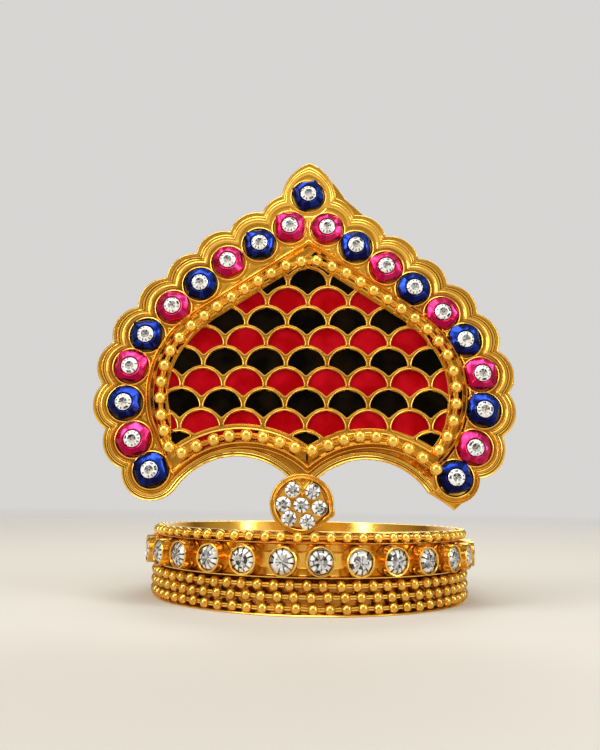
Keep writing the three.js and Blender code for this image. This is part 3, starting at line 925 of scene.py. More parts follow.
class Graph:
    """A node tree that is built a node at a time."""

    def __init__(self, tree: bpy.types.NodeTree) -> None:
        """Takes up a tree.

        Args:
            tree: the tree to add nodes to.
        """
        self.tree = tree

    def node(self, kind: str, **inputs: object) -> bpy.types.Node:
        """Adds a node.

        Args:
            kind: its type, without the start that all types share.
            inputs: sources or constants for its sockets, with underscores for the spaces in their names.

        Returns:
            The node.
        """
        node = self.tree.nodes.new("ShaderNode" + kind)
        self.fill(node, **inputs)
        return node

    def fill(self, node: bpy.types.Node, **inputs: object) -> None:
        """Fills a node's sockets by their names, with underscores for spaces."""
        for key, value in inputs.items():
            self.put(node.inputs[key.replace("_", " ")], value)

    def put(self, socket: Socket, value: object) -> None:
        """Links a source to a socket, or sets the socket to a constant, where a colour gets a full alpha."""
        if isinstance(value, Socket):
            self.tree.links.new(value, socket)
        else:
            socket.default_value = (*value, 1.0) if socket.type == "RGBA" else value

    def span(self, source: Socket, low: float, high: float, to_low: float, to_high: float) -> Socket:
        """Maps a value from between low and high onto to_low to to_high, held at its ends."""
        return self.node("MapRange", Value=source, From_Min=low, From_Max=high, To_Min=to_low,
                         To_Max=to_high).outputs["Result"]

    def math(self, operation: str, a: Socket, b: Socket | float) -> Socket:
        """Combines two values.

        Args:
            operation: name of the operation.
            a: first value.
            b: second value, a source or a constant.

        Returns:
            The result, held between 0 and 1.
        """
        node = self.node("Math")
        node.operation = operation
        node.use_clamp = True
        for socket, value in zip(node.inputs, (a, b)):
            self.put(socket, value)
        return node.outputs[0]

    def blend(self, share: Socket, a: Colour | Socket, b: Colour | Socket) -> Socket:
        """Blends from one colour to another.

        Args:
            share: 0 for the first, 1 for the second.
            a: first colour, a source or a constant.
            b: second colour, a source or a constant.

        Returns:
            The blended colour.
        """
        node = self.node("Mix")
        node.data_type = "RGBA"
        for number, value in ((0, share), (6, a), (7, b)):
            self.put(node.inputs[number], value)
        return node.outputs[2]


class Dressing(Graph):
    """A material's tree, with one shader."""

    def __init__(self, name: str) -> None:
        """Starts a material that has only the shader.

        Args:
            name: of the material.
        """
        self.material = bpy.data.materials.new(name)
        self.material.use_nodes = True
        super().__init__(self.material.node_tree)
        self.tree.nodes.clear()
        self.shader = self.node("BsdfPrincipled")
        self.node("OutputMaterial", Surface=self.shader.outputs["BSDF"])
        self.place = self.node("TexCoord").outputs["Object"]

    def set(self, **inputs: object) -> None:
        """Fills the shader's sockets by their names, with underscores for spaces."""
        self.fill(self.shader, **inputs)

    def attribute(self, name: str) -> Socket:
        """Reads one of the mesh's own values."""
        node = self.node("Attribute")
        node.attribute_name = name
        return node.outputs["Fac"]

    def noise(self, scale: float, detail: float = 2.0) -> Socket:
        """Makes cloudy noise round 0.5, fixed to the object: patches in a metre, and finer layers."""
        return self.node("TexNoise", Vector=self.place, Scale=scale, Detail=detail).outputs[0]

    def spots(self, scale: float) -> Socket:
        """Distance to the nearest of scattered points fixed to the object, so many in a metre, in cells."""
        return self.node("TexVoronoi", Vector=self.place, Scale=scale).outputs["Distance"]

    def bump(self, height: Socket, depth: float) -> None:
        """Gives the shader a bump by a height from 0 to 1, where 1 is worth the depth in millimetres."""
        node = self.node("Bump", Strength=1.0, Distance=depth * MM, Height=height)
        self.set(Normal=node.outputs["Normal"])


@dataclass(frozen=True)
class Gilt:
    """Gilded brass: bright where rubbed, orange brown to nearly black in creases, which is grime and painted
    shade, with a soft grain and tiny pits.

    Roughness goes from polished to satin, the grain is in millimetres, and scales count in a metre.
    """

    name: str
    bright: Colour = (0.98, 0.59, 0.10)
    # deep and black: the colours of grime and painted shade in creases, black only in the deepest.
    deep: Colour = (0.34, 0.085, 0.003)
    black: Colour = (0.075, 0.022, 0.002)
    polished: float = 0.12
    satin: float = 0.24
    grain: float = 0.002
    metal: float = 0.95
    patch_scale: float = 190.0
    grain_scale: float = 2300.0
    pit_scale: float = 900.0
    rare_scale: float = 420.0

    def material(self) -> Material:
        """Builds the material."""
        graph = Dressing(self.name)
        patches = graph.noise(self.patch_scale, 3.0)
        grain = graph.noise(self.grain_scale, 3.0)
        pits = graph.span(graph.spots(self.pit_scale), 0.06, 0.16, 1.0, 0.0)
        rare = graph.span(graph.noise(self.rare_scale, 1.0), 0.55, 0.66, 0.0, 1.0)
        pitted = graph.math("MULTIPLY", pits, rare)
        patchy = graph.span(patches, 0.3, 0.7, 0.75, 1.0)
        # The mesh's value of grime and painted shade blends the colour towards deep, and above 0.78 towards black.
        grime_and_shade = graph.math("MULTIPLY", graph.attribute("grime_and_shade"), patchy)
        cloudy = graph.math("ADD", grime_and_shade, graph.span(patches, 0.42, 0.72, 0.0, 0.22))
        colour = graph.blend(cloudy, self.bright, self.deep)
        crease = graph.span(graph.attribute("grime_and_shade"), 0.78, 1.0, 0.0, 0.8)
        dark = graph.math("ADD", graph.math("MULTIPLY", pitted, 0.8), crease)
        fine, broad = graph.span(grain, 0.35, 0.65, 0.0, 0.45), graph.span(patches, 0.3, 0.7, 0.0, 0.55)
        dull = graph.span(graph.math("ADD", fine, broad), 0.0, 1.0, self.polished, self.satin)
        relief = graph.span(grain, 0.2, 0.8, 0.3, 0.7)
        graph.bump(graph.math("SUBTRACT", relief, graph.math("MULTIPLY", pitted, 0.3)), self.grain)
        graph.set(Base_Color=graph.blend(dark, colour, self.black), Roughness=dull, Metallic=self.metal,
                  Coat_Weight=0.1, Coat_Roughness=0.08)
        return graph.material


class EnamelColour(Enum):
    """The two enamel colours: the glaze, the glaze where it lies thin, and its material's name."""

    BLACK = ((0.0010, 0.0008, 0.0006), (0.006, 0.0035, 0.002), "enamel_black")
    RED = ((0.27, 0.0006, 0.003), (0.39, 0.003, 0.010), "enamel_red")


@dataclass(frozen=True)
class Enamel:
    """Fired enamel: a glossy glaze, gently uneven, lighter where it lies thin. Scales count in a metre."""

    colour: EnamelColour
    cloud_scale: float = 330.0
    gloss_scale: float = 900.0
    wave_scale: float = 420.0
    wave_depth: float = 0.10
    index: float = 1.12

    def material(self) -> Material:
        """Builds the material."""
        glaze, thin, name = self.colour.value
        graph = Dressing(name)
        clouds = graph.span(graph.noise(self.cloud_scale), 0.40, 0.68, 0.0, 1.0)
        dull = graph.span(graph.noise(self.gloss_scale), 0.3, 0.7, 0.07, 0.16)
        graph.set(Base_Color=graph.blend(clouds, glaze, thin), Roughness=dull, IOR=self.index)
        graph.bump(graph.noise(self.wave_scale), self.wave_depth)
        return graph.material


class FoilColour(Enum):
    """The two foil colours: the open foil, the foil in painted shade, and its material's name."""

    BLUE = ((0.010, 0.045, 0.40), (0.0006, 0.001, 0.042), "foil_blue")
    PINK = ((0.66, 0.035, 0.19), (0.38, 0.001, 0.045), "foil_pink")


@dataclass(frozen=True)
class Foil:
    """Coloured foil under clear lacquer: a metal sheen, deeper where the mesh holds painted shade, and a random
    tone for each petal. Scales count in a metre.
    """

    colour: FoilColour
    gloss_scale: float = 1800.0
    grain_scale: float = 1700.0
    grain_depth: float = 0.015

    def material(self) -> Material:
        """Builds the material."""
        open_foil, shaded_foil, name = self.colour.value
        graph = Dressing(name)
        # The per-point value is painted shade of the pillow; the per-face one a random tone for each petal.
        petal = graph.span(graph.attribute("shade"), 0.0, 1.0, 0.75, -0.15)
        folds = graph.math("ADD", graph.attribute("grime_and_shade"), petal)
        dull = graph.span(graph.noise(self.gloss_scale), 0.3, 0.7, 0.14, 0.30)
        graph.set(Base_Color=graph.blend(folds, open_foil, shaded_foil), Roughness=dull, Metallic=0.92, Coat_Weight=0.05,
                  Coat_Roughness=0.04)
        graph.bump(graph.noise(self.grain_scale), self.grain_depth)
        return graph.material


@dataclass(frozen=True)
class CutGlass:
    """Foil-backed cut glass: each facet's colour is painted light or dark from the mesh's per-face value, as a
    reflection, over its own gloss.
    """

    name: str = "clear_stone"
    # dark and light: the colours of a facet's painted dark reflection and painted glint.
    dark: Colour = (0.012, 0.013, 0.015)
    light: Colour = (0.93, 0.94, 0.95)
    gloss_scale: float = 2400.0

    def material(self) -> Material:
        """Builds the material."""
        graph = Dressing(self.name)
        facets = graph.blend(graph.attribute("shade"), self.dark, self.light)
        dull = graph.span(graph.noise(self.gloss_scale, 1.0), 0.3, 0.7, 0.03, 0.10)
        graph.set(Base_Color=facets, Roughness=dull, Metallic=0.15, IOR=1.6)
        return graph.material


@dataclass(frozen=True)
class Finishes:
    """Every material of the crown, built once."""

    plate: Material
    band: Material
    chain: Material
    black: Material
    red: Material
    blue: Material
    pink: Material
    stone: Material

    @classmethod
    def build(cls) -> "Finishes":
        """Builds them all."""
        bead_gilt = Gilt("gilt_chain", bright=(0.98, 0.63, 0.11), polished=0.14, grain=0.001, metal=0.84)
        return cls(
            plate=Gilt("gilt_plate").material(),
            band=Gilt("gilt_band", polished=0.11, satin=0.22).material(),
            chain=bead_gilt.material(),
            black=Enamel(EnamelColour.BLACK).material(),
            red=Enamel(EnamelColour.RED).material(),
            blue=Foil(FoilColour.BLUE).material(),
            pink=Foil(FoilColour.PINK).material(),
            stone=CutGlass().material(),
        )


# Sub-assemblies


@dataclass
class CrestPlate:
    """The gilt crest: a moulded plate with collets round its studs, a ridge round the panel and a dish below.

    Attributes:
        rim: the edge's moulding, in pairs of share and height, and flat_height: that of its flat lands.
        line_share: where the rim's fine lines start, and step_share: where it steps down to the collets.
        dish_bells: height, place and width of the bell curves that bend the dish's edge, in radians.
        slits: x, z, turn, length and width of each slit in the web.
    """

    edge: CrestEdge
    panel: PanelEdge
    rim: Profile = (
        (0.12, 0.0), (0.03, 0.03), (0.0, 0.14), (0.0, 0.72), (0.012, 0.84), (0.045, 0.92), (0.085, 0.95),
        (0.13, 0.92), (0.20, 0.89), (0.27, 0.89), (0.285, 0.86), (0.305, 0.76), (0.325, 0.86), (0.345, 0.92),
        (0.39, 0.945), (0.44, 0.92), (0.46, 0.86), (0.48, 0.76), (0.50, 0.86), (0.52, 0.91), (0.57, 0.93),
        (0.64, 0.90), (0.72, 0.90), (0.765, 0.95), (0.80, 0.93), (0.84, 0.84), (0.90, 0.76), (1.0, 0.72),
    )
    flat_height: float = 0.90
    crease_depth: float = 0.05
    line_share: float = 0.24
    step_share: float = 0.82
    worn: float = 0.8
    worn_z: tuple[float, float] = (46.0, 55.0)
    ridge: Profile = (
        (-0.70, 0.50), (-0.70, 0.98), (-0.66, 1.08), (-0.58, 1.12), (-0.51, 1.06), (-0.46, 0.86), (-0.42, 0.72),
        (-0.30, 0.72), (-0.26, 0.95), (-0.22, 1.28), (-0.15, 1.50), (-0.05, 1.58), (0.06, 1.56), (0.14, 1.44),
        (0.20, 1.26), (0.28, 1.20), (0.33, 1.12), (0.38, 0.90), (0.42, 0.70), (0.42, 0.50),
    )
    collet: Profile = (
        (2.66, 0.50), (2.65, 0.86), (2.61, 0.99), (2.54, 1.07), (2.46, 1.09), (2.38, 1.05), (2.33, 0.96),
        (2.28, 0.82), (2.22, 0.72), (2.14, 0.68), (2.14, 0.50),
    )
    collet_sides: int = 40
    spandrel_radius: float = 2.92
    deep_radius: float = 2.9
    spandrel_inset: float = 0.72
    spandrel_heights: tuple[float, float, float] = (0.5, 0.84, 0.14)
    spandrel_lip: float = 0.10
    spandrel_grid: tuple[int, int] = (7, 13)
    least_spandrel: tuple[float, float] = (1.2, 0.12)
    dish_centre: tuple[float, float] = (-0.05, 14.1)
    dish_width: float = 1.07
    dish: Profile = (
        (0.0, 0.02), (3.72, 0.02), (3.90, 0.10), (3.94, 0.30), (3.94, 0.95), (3.92, 1.08), (3.85, 1.17),
        (3.75, 1.20), (3.64, 1.16), (3.56, 1.17), (3.51, 1.26), (3.45, 1.40), (3.37, 1.45), (3.30, 1.41),
        (3.25, 1.22), (3.21, 0.94), (3.12, 0.76), (2.80, 0.72), (0.0, 0.72),
    )
    dish_sides: int = 96
    dish_bells: tuple[tuple[float, float, float], ...] = ((0.085, -0.31, 0.15), (-0.065, -0.92, 0.36))
    dish_bent: tuple[float, float] = (2.9, 3.4)
    web: Profile = ((2.2, 57.4), (4.4, 54.6), (9.4, 53.2), (5.2, 57.3), (3.1, 60.1))
    tip: Profile = ((16.4, 16.0), (20.05, 13.75), (22.5, 15.6), (19.6, 17.4))
    burr_counts: tuple[int, int] = (16, 7)
    burr_size: tuple[float, float, float] = (0.46, 0.46, 0.34)
    slit: Profile = ((0.0, -0.2), (0.5, -0.2), (0.5, 0.0), (0.0, 0.02))
    slits: tuple[tuple[float, ...], ...] = ((4.7, 55.9, -0.5, 1.35, 0.22), (6.0, 55.15, -0.36, 1.0, 0.2))
    slit_height: float = 0.72

    def body(self) -> Skin:
        """Carries the rim moulding round the edge, its fine lines worn fainter towards the top, with flat lids."""
        loops = np.stack([self.edge.outline(share) for share, _ in self.rim])
        share, height = np.hsplit(np.array(self.rim), 2)
        lined = share > self.line_share
        fade = self.worn * ramp(loops[:, :, 1], *self.worn_z)
        lines = lined * (height - self.flat_height)
        stack = on_crest(loops[:, :, 0], loops[:, :, 1], height - fade * lines)
        # Grime and painted shade in the grooves between the rim's fine lines, less past the step to the collets,
        # fading towards the top.
        creases = ramp(height, self.flat_height, self.flat_height - self.crease_depth)
        creases = lined * creases * np.where(share > self.step_share, 0.6, 1.0)
        return capped_skin(stack, creases * (1.0 - fade))

    def collets(self) -> Skin:
        """Turns one wire collet and sets it round every stud."""
        # Grime and painted shade, deepest at the collet's foot.
        creases = ramp(np.array(self.collet)[:, 1], 0.95, 0.65)
        collet = turned_skin(self.collet, self.collet_sides, 0.1 + 0.65 * creases)
        return repeated_skin(collet, CREST_AXES[None], on_crest(*self.edge.studs().T, 0.0))

    def spandrels(self) -> list[Skin]:
        """Fills each corner between two collets and the panel ridge with a small raised triangle.

        In the frame of two neighbouring studs, a half distance apart each side, the lower bound at s is the higher
        of the two collet circles there, and the upper bound lies along the ridge.
        """
        centres = self.edge.studs()
        rows, columns = self.spandrel_grid
        share = np.linspace(0.0, 1.0, rows)[:, None]
        least_depth, least_width = self.least_spandrel
        back, side, rise = self.spandrel_heights
        skins = []
        for a, b in zip(centres[:-1], centres[1:]):
            middle, gap = (a + b) / 2.0, b - a
            half = float(np.hypot(*gap)) / 2.0
            along = gap / (2.0 * half)
            inward = np.array([along[1], -along[0]])
            depth = float(self.panel.inside(*PANEL_SETTING.undo(middle[:1], middle[1:]))[0])
            upper = -depth - self.spandrel_inset
            width = half - float(half_chord(self.spandrel_radius, min(upper, self.deep_radius)))
            if upper < least_depth or width < least_width:
                continue
            s = np.linspace(-width, width, columns)[None, :]
            lower = half_chord(self.spandrel_radius, half - np.abs(s))
            n = lower + share * (upper - lower)
            x, z = (middle[i] + along[i] * s + inward[i] * n for i in range(2))
            lip = ramp(np.minimum(share, 1.0 - share) * (upper - lower), 0.0, self.spandrel_lip)
            top = on_crest(x, z, side + rise * np.sqrt(lip))
            skins.append(slab_skin(top, on_crest(x, z, back), 0.1))
        return skins

    def dish_skin(self) -> Skin:
        """Turns the dish, with a pointed bulge low on its right and the edge below it dressed straight.

        The radius is scaled by 1 plus a narrow bell curve at -18 degrees and less a broad one at -52 degrees.
        """
        radius, height = np.hsplit(np.array(self.dish), 2)
        angle = even_angles(self.dish_sides)
        off = (angle + math.pi) % FULL_TURN - math.pi
        bulge = sum(size * np.exp(-((off - place) / width) ** 2) for size, place, width in self.dish_bells)
        radius = radius * (1.0 + bulge * ramp(radius, *self.dish_bent))
        x = self.dish_centre[0] + self.dish_width * radius * np.cos(angle)
        z = self.dish_centre[1] + radius * np.sin(angle)
        # Grime and painted shade, heavier on the dish's low floor and walls than on its raised rim.
        return ring_skin(on_crest(x, z, height), 0.42 + 0.4 * ramp(height, 1.1, 0.7), False)

    @staticmethod
    def leftover(corners: Profile, height: float, bow: float, steps: int = 8) -> Skin:
        """Makes a thin plate with bowed sides and a rounded front edge from its corners.

        Each side is straight plus 4 b s (1 - s) outwards, and each loop is the outline scaled about its middle.

        Args:
            corners: x and z of the corners, anticlockwise.
            height: of its front.
            bow: how far each side bulges, in millimetres.
            steps: points on a side.

        Returns:
            The skin.
        """
        points = np.array(corners)
        gap = np.roll(points, -1, axis=0) - points
        share = (np.arange(steps) / steps)[None, :, None]
        outward = np.stack([gap[:, 1], -gap[:, 0]], axis=1) / np.hypot(*gap.T)[:, None]
        sides = points[:, None] + share * gap[:, None] + 4.0 * bow * share * (1.0 - share) * outward[:, None]
        loop = sides.reshape(-1, 2)
        centre = loop.mean(axis=0)
        front = ((1.0, height - 0.12), (0.985, height - 0.03), (0.95, height), (0.90, height - 0.02))
        loops = [on_crest(*(centre + scale * (loop - centre)).T, level) for scale, level in ((1.0, 0.06), *front)]
        return capped_skin(np.stack(loops), [0.3, 0.1, 0.0, 0.0, 0.3])

    def burrs(self) -> Skin:
        """Leaves small rough lumps of metal along the right edge and under the right arch."""
        chance = np.random.default_rng(5)
        loop = self.edge.outline(0.04)
        x, z = loop.T
        places = (loop[(x > 1.5) & (z > 13.0)], loop[(x > 2.4) & (x < 7.0) & (z < 20.0)])
        picked = [place[chance.choice(len(place), n, False)] for place, n in zip(places, self.burr_counts)]
        picked = np.concatenate(picked)
        size = chance.uniform(0.55, 1.0, (len(picked), 3)) * np.array(self.burr_size)
        frames = spun_crest_axes(chance.uniform(0.0, FULL_TURN, len(picked))) * size[:, None, :]
        return repeated_skin(bead(1.0), frames, on_crest(*picked.T, chance.uniform(0.62, 0.9, len(picked))))

    def slit_skin(self) -> Skin:
        """Two narrow slits left by the shears in the web, made black as painted shadow of the gap."""
        x, z, turn, length, width = np.array(self.slits).T
        sizes = np.stack([length, width, np.ones_like(width)], axis=1)
        frames = spun_crest_axes(turn) * sizes[:, None, :]
        return repeated_skin(turned_skin(self.slit, 16, 1.0), frames, on_crest(x, z, self.slit_height))

    def build(self, finishes: Finishes) -> None:
        """Makes the plate and the work raised on it.

        Args:
            finishes: the crown's materials.
        """
        look, node = [finishes.plate], ["crest_plate"]
        leftovers = [self.leftover(self.web, 0.7, 0.12), self.leftover(self.tip, 0.8, -0.1)]
        make_piece("crest_body", [self.body(), *leftovers, self.burrs()], look, node)
        # The slits are black enamel: painted shadow where the shears cut through.
        make_piece("web_slits_painted_shadow", [self.slit_skin()], [finishes.black], node)
        make_piece("stud_collets", [self.collets()], look, node)
        make_piece("spandrels", self.spandrels(), look, node)
        # Grime and painted shade in the hollows of the ridge's profile.
        ridge = self.panel.ring(self.ridge, 0.1 + 0.9 * hollows(self.ridge, 0.14, 0.12))
        make_piece("panel_ridge", [ridge], look, node)
        make_piece("medallion_dish", [self.dish_skin()], look, node)


@dataclass
class ScalePanel:
    """The fish-scale panel: enamel cells in rows, each in a gilt frame, in a trough with a ball chain.

    Attributes:
        left: how far left of the middle the first row lies, and lean: how much further each row does.
        scale_radius: of a cell's round top.
        foot_radius: of the two round hollows below a cell, and foot_drop: how far their centres lie under those of
            the next row's cells.
        bed_radius: of the line, hidden by the frames, where the enamel of two rows meets, and bed_drop as above.
        border_rise: how much further out the border lies along the shoulders, and rise_x: where that ends.
        slim: its width along the sides, as a share of that along the feet and shoulders, and slim_steps: how soon.
        sag: how far the border's feet lie below their even line, askew: how much more for each millimetre to the
            right, and askew_z: where both fade.
        floor_runs: between which of the edge's points the trough has a gilt floor, and red_run: a red one.
        chain_insets: the chain's distance from the ridge at the feet, sides and shoulders, and chain_z: between
            which heights it changes.
        chain_start: how far from the lower right corner the first bead lies, and chain_end: place of the last.
        drift_x: between which x the chain drifts over the ridge along the right foot, and drift: how far.
    """

    panel: PanelEdge
    rows: int = 9
    foot_row: int = 7
    aside: int = 5
    pitch: float = 5.60
    row_step: float = 2.865
    left: float = 0.08
    lean: float = 0.045
    top_z: float = 43.39
    scale_radius: float = 2.52
    foot_radius: float = 3.52
    foot_drop: float = 0.60
    bed_radius: float = 3.12
    bed_drop: float = 0.30
    bed_height: float = 0.60
    corner_spread: float = 0.13
    frame: Profile = (
        (0.0, 0.60), (0.0, 1.15), (0.015, 1.24), (0.05, 1.30), (0.10, 1.305), (0.14, 1.27), (0.18, 1.25),
        (0.32, 1.245), (0.48, 1.23), (0.57, 1.0), (0.58, 0.60),
    )
    # Grime and painted shade along a frame's profile: none on the rounded edge by the enamel, more on its walls
    # and flat top.
    frame_grime_and_shade: Profile = ((0.0, 0.5), (0.01, 0.0), (0.10, 0.0), (0.18, 0.56), (0.48, 0.60))
    frame_points: int = 64
    least_face: tuple[float, float] = (0.4, 0.5)
    gap: float = 0.05
    pad: Profile = ((0.0, 0.60), (0.46, 0.60), (0.46, 1.22), (0.42, 1.235), (0.0, 1.235))
    pad_rise: float = 1.0
    border_inset: float = 2.36
    border: Profile = (
        (1.60, 0.60), (1.60, 1.14), (1.62, 1.25), (1.68, 1.31), (1.76, 1.31), (1.84, 1.26), (1.92, 1.24),
        (2.28, 1.235), (2.38, 1.22), (2.40, 0.60),
    )
    border_rise: float = 0.45
    rise_x: tuple[float, float] = (12.5, 16.5)
    rise_z: float = 30.0
    slim: float = 0.32
    slim_steps: int = 12
    sag: float = 0.20
    askew: float = 0.030
    askew_z: tuple[float, float] = (25.0, 27.0)
    enamel_height: float = 1.02
    enamel_inset: float = 0.3
    cell_grid: tuple[int, int] = (13, 21)
    uneven: float = 0.012
    creep: tuple[float, float] = (0.03, 0.12)
    ledge: Profile = ((0.20, 0.60), (0.20, 1.08), (0.42, 1.06), (0.50, 1.00), (0.54, 0.86), (0.54, 0.60))
    trough: Profile = (
        (0.30, 1.15), (0.50, 1.15), (0.62, 1.13), (1.20, 1.12), (1.60, 1.13), (1.80, 1.18), (1.95, 1.18),
    )
    floor_runs: tuple[tuple[int, int], ...] = (
        (0, 80), (91, 101), (113, 146), (150, 160), (163, 191), (228, 252), (278, 300),
    )
    red_run: tuple[int, int] = (246, 289)
    red_insets: tuple[float, float] = (0.4, 2.1)
    red_height: float = 1.085
    chain_insets: tuple[float, float, float] = (1.05, 1.4, 0.8)
    chain_z: tuple[float, float, float] = (23.0, 28.0, 40.0)
    chain_height: float = 1.80
    chain_start: float = 0.86
    chain_end: tuple[float, float] = (16.7, 18.2)
    drift_x: tuple[float, float] = (9.0, 16.7)
    drift: float = 1.3
    smoothings: int = 80
    bead_diameter: float = 1.70
    bead_pitch: float = 2.24
    rails: Rails = Rails(0.32, 0.17)

    def all_rows(self) -> range:
        """Numbers of the rows, with one above the first and one below the last, which the panel cuts off."""
        return range(-1, self.rows + 1)

    def row_height(self, row: int) -> float:
        """Height of a row's circle centres."""
        return self.top_z - self.row_step * row

    def row_shift(self, row: int) -> float:
        """Where a row's middle lies: odd rows are moved along by half a pitch, and each leans left of the last."""
        return (0.0 if row % 2 == 0 else self.pitch / 2.0) - self.left - self.lean * row

    def row_centres(self, row: int) -> Array:
        """Circle centres along a row."""
        return self.row_shift(row) + self.pitch * np.arange(-self.aside, self.aside + 1)

    def scallops(self, x: Array, row: int, radius: float, drop: float) -> Array:
        """Height of a row's round tops above each x, from a line dropped below its centres."""
        shift = self.row_shift(row)
        off = x - shift - self.pitch * np.round((x - shift) / self.pitch)
        return self.row_height(row) - drop + half_chord(radius, off)

    @staticmethod
    def longest_run(inside: Array) -> Array:
        """Numbers of the longest unbroken run of true places in a row of tests."""
        places = np.flatnonzero(inside)
        return max(np.split(places, np.flatnonzero(np.diff(places) > 1) + 1), key=len)

    def frame_bounds(self, x: Array, row: int, x0: float) -> tuple[Array, Array]:
        """Upper and lower bound of a cell's open face above each x, inside its frame and inside the border."""
        own = self.row_height(row) + half_chord(self.scale_radius, x - x0)
        rise = self.border_rise * np.interp(np.abs(x), self.rise_x, (1.0, 0.0))
        upper = np.minimum(own, self.panel.top(x, self.border_inset - rise))
        lower = self.scallops(x, row + 1, self.foot_radius, self.foot_drop)
        lower = np.maximum(lower, self.panel.bottom(x, self.border_inset) - self.sag - self.askew * x)
        reach = self.panel.side.x + self.panel.side.radius - self.border_inset
        return upper, np.where(np.abs(x) < reach, lower, upper)

    def sunk(self, x: Array, z: Array) -> Array:
        """How far the border lies below its even place: the sag, and more in proportion to x, along the feet."""
        return (self.sag + self.askew * x) * np.interp(z, self.askew_z, (1.0, 0.0))

    def border_skin(self) -> Skin:
        """Carries the border's profile round the panel, slim along the sides and askew along the feet."""
        insets, heights = np.array(self.border).T
        loops = self.panel.loops(insets)
        inner = loops[-1]
        number = np.arange(len(inner))
        steps = self.panel.side.steps
        turns = np.array([0, self.slim_steps, steps - self.slim_steps, steps]) + self.panel.foot.steps
        width = np.interp(np.minimum(number, len(inner) - number), turns, (1.0, self.slim, self.slim, 1.0))
        risen = self.panel.outline(insets[-1] - self.border_rise) - inner
        share = np.interp(np.abs(inner[:, 0]), self.rise_x, (1.0, 0.0)) * (inner[:, 1] > self.rise_z)
        loops = inner + share[:, None] * risen + width[:, None] * (loops - inner)
        x, z = loops[:, :, 0], loops[:, :, 1]
        grid = on_panel(x, z - self.sunk(x, z), heights[:, None])
        # Grime and painted shade in the hollows of the border's profile.
        return ring_skin(grid, 0.1 + 0.8 * hollows(self.border, 0.12, 0.08))

    def cell_outline(self, row: int, x0: float) -> Array | None:
        """Draws the edge of a cell's open face, anticlockwise with rounded corners.

        Args:
            row: number of the row.
            x0: the cell's circle centre.

        Returns:
            An (n, 2) closed loop, or nothing where the panel leaves less than a sliver of it.
        """
        scan = x0 + self.scale_radius * np.linspace(-1.0, 1.0, 121)
        upper, lower = self.frame_bounds(scan, row, x0)
        run = self.longest_run(upper - lower > self.gap)
        if not len(run):
            return None
        first, last = scan[run[0]], scan[run[-1]]
        middle, half = (first + last) / 2.0, (last - first) / 2.0
        x = middle - half * np.cos(np.linspace(0.0, math.pi, 40))
        upper, lower = self.frame_bounds(x, row, x0)
        least_half, least_height = self.least_face
        if half < least_half or (upper - lower).max() < least_height:
            return None
        below, above = np.stack([x, lower], axis=1), np.stack([x, np.maximum(upper, lower)], axis=1)
        return rounded_loop(np.concatenate([below, above[::-1]]), self.corner_spread, self.frame_points)

    def cell_frame(self, loop: Array) -> Skin:
        """Carries the frame's profile round a cell: each profile point lies outside the loop by its distance.

        Where the border is near, the distance is cut short of it.

        Args:
            loop: the edge of the cell's open face.

        Returns:
            The skin.
        """
        heading = np.roll(loop, -1, axis=0) - np.roll(loop, 1, axis=0)
        outward = np.stack([heading[:, 1], -heading[:, 0]], axis=1) / np.hypot(*heading.T)[:, None]
        away, height = np.hsplit(np.array(self.frame), 2)
        inside = self.panel.inside(loop[:, 0], loop[:, 1] + self.sunk(*loop.T))
        room = np.clip(inside - self.border[0][0] - 0.02, 0.1, None)
        reach = np.minimum(away, room)
        grid = on_panel(loop[:, 0] + reach * outward[:, 0], loop[:, 1] + reach * outward[:, 1], height)
        return ring_skin(grid, np.interp(away[:, 0], *np.array(self.frame_grime_and_shade).T))

    def frames(self) -> list[Skin]:
        """Makes all the frames, and a flat pad under each place where three of them meet."""
        skins, pads = [], []
        for row in self.all_rows():
            for x0 in self.row_centres(row):
                loop = self.cell_outline(row, x0)
                if loop is not None:
                    skins.append(self.cell_frame(loop))
                pads.append((x0 + self.pitch / 2.0, self.row_height(row) + self.pad_rise))
        x, z = np.array(pads).T
        kept = self.panel.inside(x, z) > self.border_inset
        pad = turned_skin(self.pad, 10, 0.36)
        return [*skins, repeated_skin(pad, CREST_AXES[None], on_panel(x[kept], z[kept], 0.0))]

    def cell(self, row: int, x0: float, chance: Chance) -> Skin | None:
        """Pours one enamel cell: a slightly tilted, slightly hollow sheet that climbs the walls round it.

        At each x the cell runs from the tops of the row below to its own round top, and its height is a base, a
        small tilt, and c exp(-d / w) for the creep c, its width w and the distance d to the nearest wall.

        Args:
            row: number of the row.
            x0: the cell's circle centre.
            chance: the seeded source of the tilt.

        Returns:
            The skin, or nothing where the panel leaves no room for it.
        """
        tilt_x, tilt_z = chance.normal(0.0, self.uneven, 2)
        level = self.enamel_height + chance.normal(0.0, self.uneven)
        scan = np.linspace(x0 - self.pitch / 2.0, x0 + self.pitch / 2.0, 81)
        upper, lower = self.cell_bounds(scan, row)
        run = self.longest_run((upper - lower > 0.08) & (self.panel.inside(scan, (upper + lower) / 2.0) > 0.1))
        if len(run) < 8:
            return None
        rows, columns = self.cell_grid
        x = np.linspace(scan[run[0]], scan[run[-1]], columns)
        upper, lower = self.cell_bounds(x, row)
        z = lower + np.linspace(0.0, 1.0, rows)[:, None] * (upper - lower)
        x = np.broadcast_to(x, z.shape)
        across, above = x - x0, z - self.row_height(row)
        feet = np.hypot(np.abs(across) - self.pitch / 2.0, above + (self.row_step + self.foot_drop))
        own = np.where(above > 0.0, self.scale_radius - np.hypot(across, above), np.inf)
        wall = np.clip(np.minimum(feet - self.foot_radius, own), 0.0, None)
        creep, width = self.creep
        height = level + tilt_x * across + tilt_z * above + creep * np.exp(-wall / width)
        return slab_skin(on_panel(x, z, height), on_panel(x, z, self.bed_height))

    def cell_bounds(self, x: Array, row: int) -> tuple[Array, Array]:
        """Upper and lower bound of a row's enamel above each x, under the middle of the walls, in the panel."""
        own, below = (self.scallops(x, number, self.bed_radius, self.bed_drop) for number in (row, row + 1))
        upper = np.minimum(own, self.panel.top(x, self.enamel_inset))
        return upper, np.maximum(below, self.panel.bottom(x, self.enamel_inset))

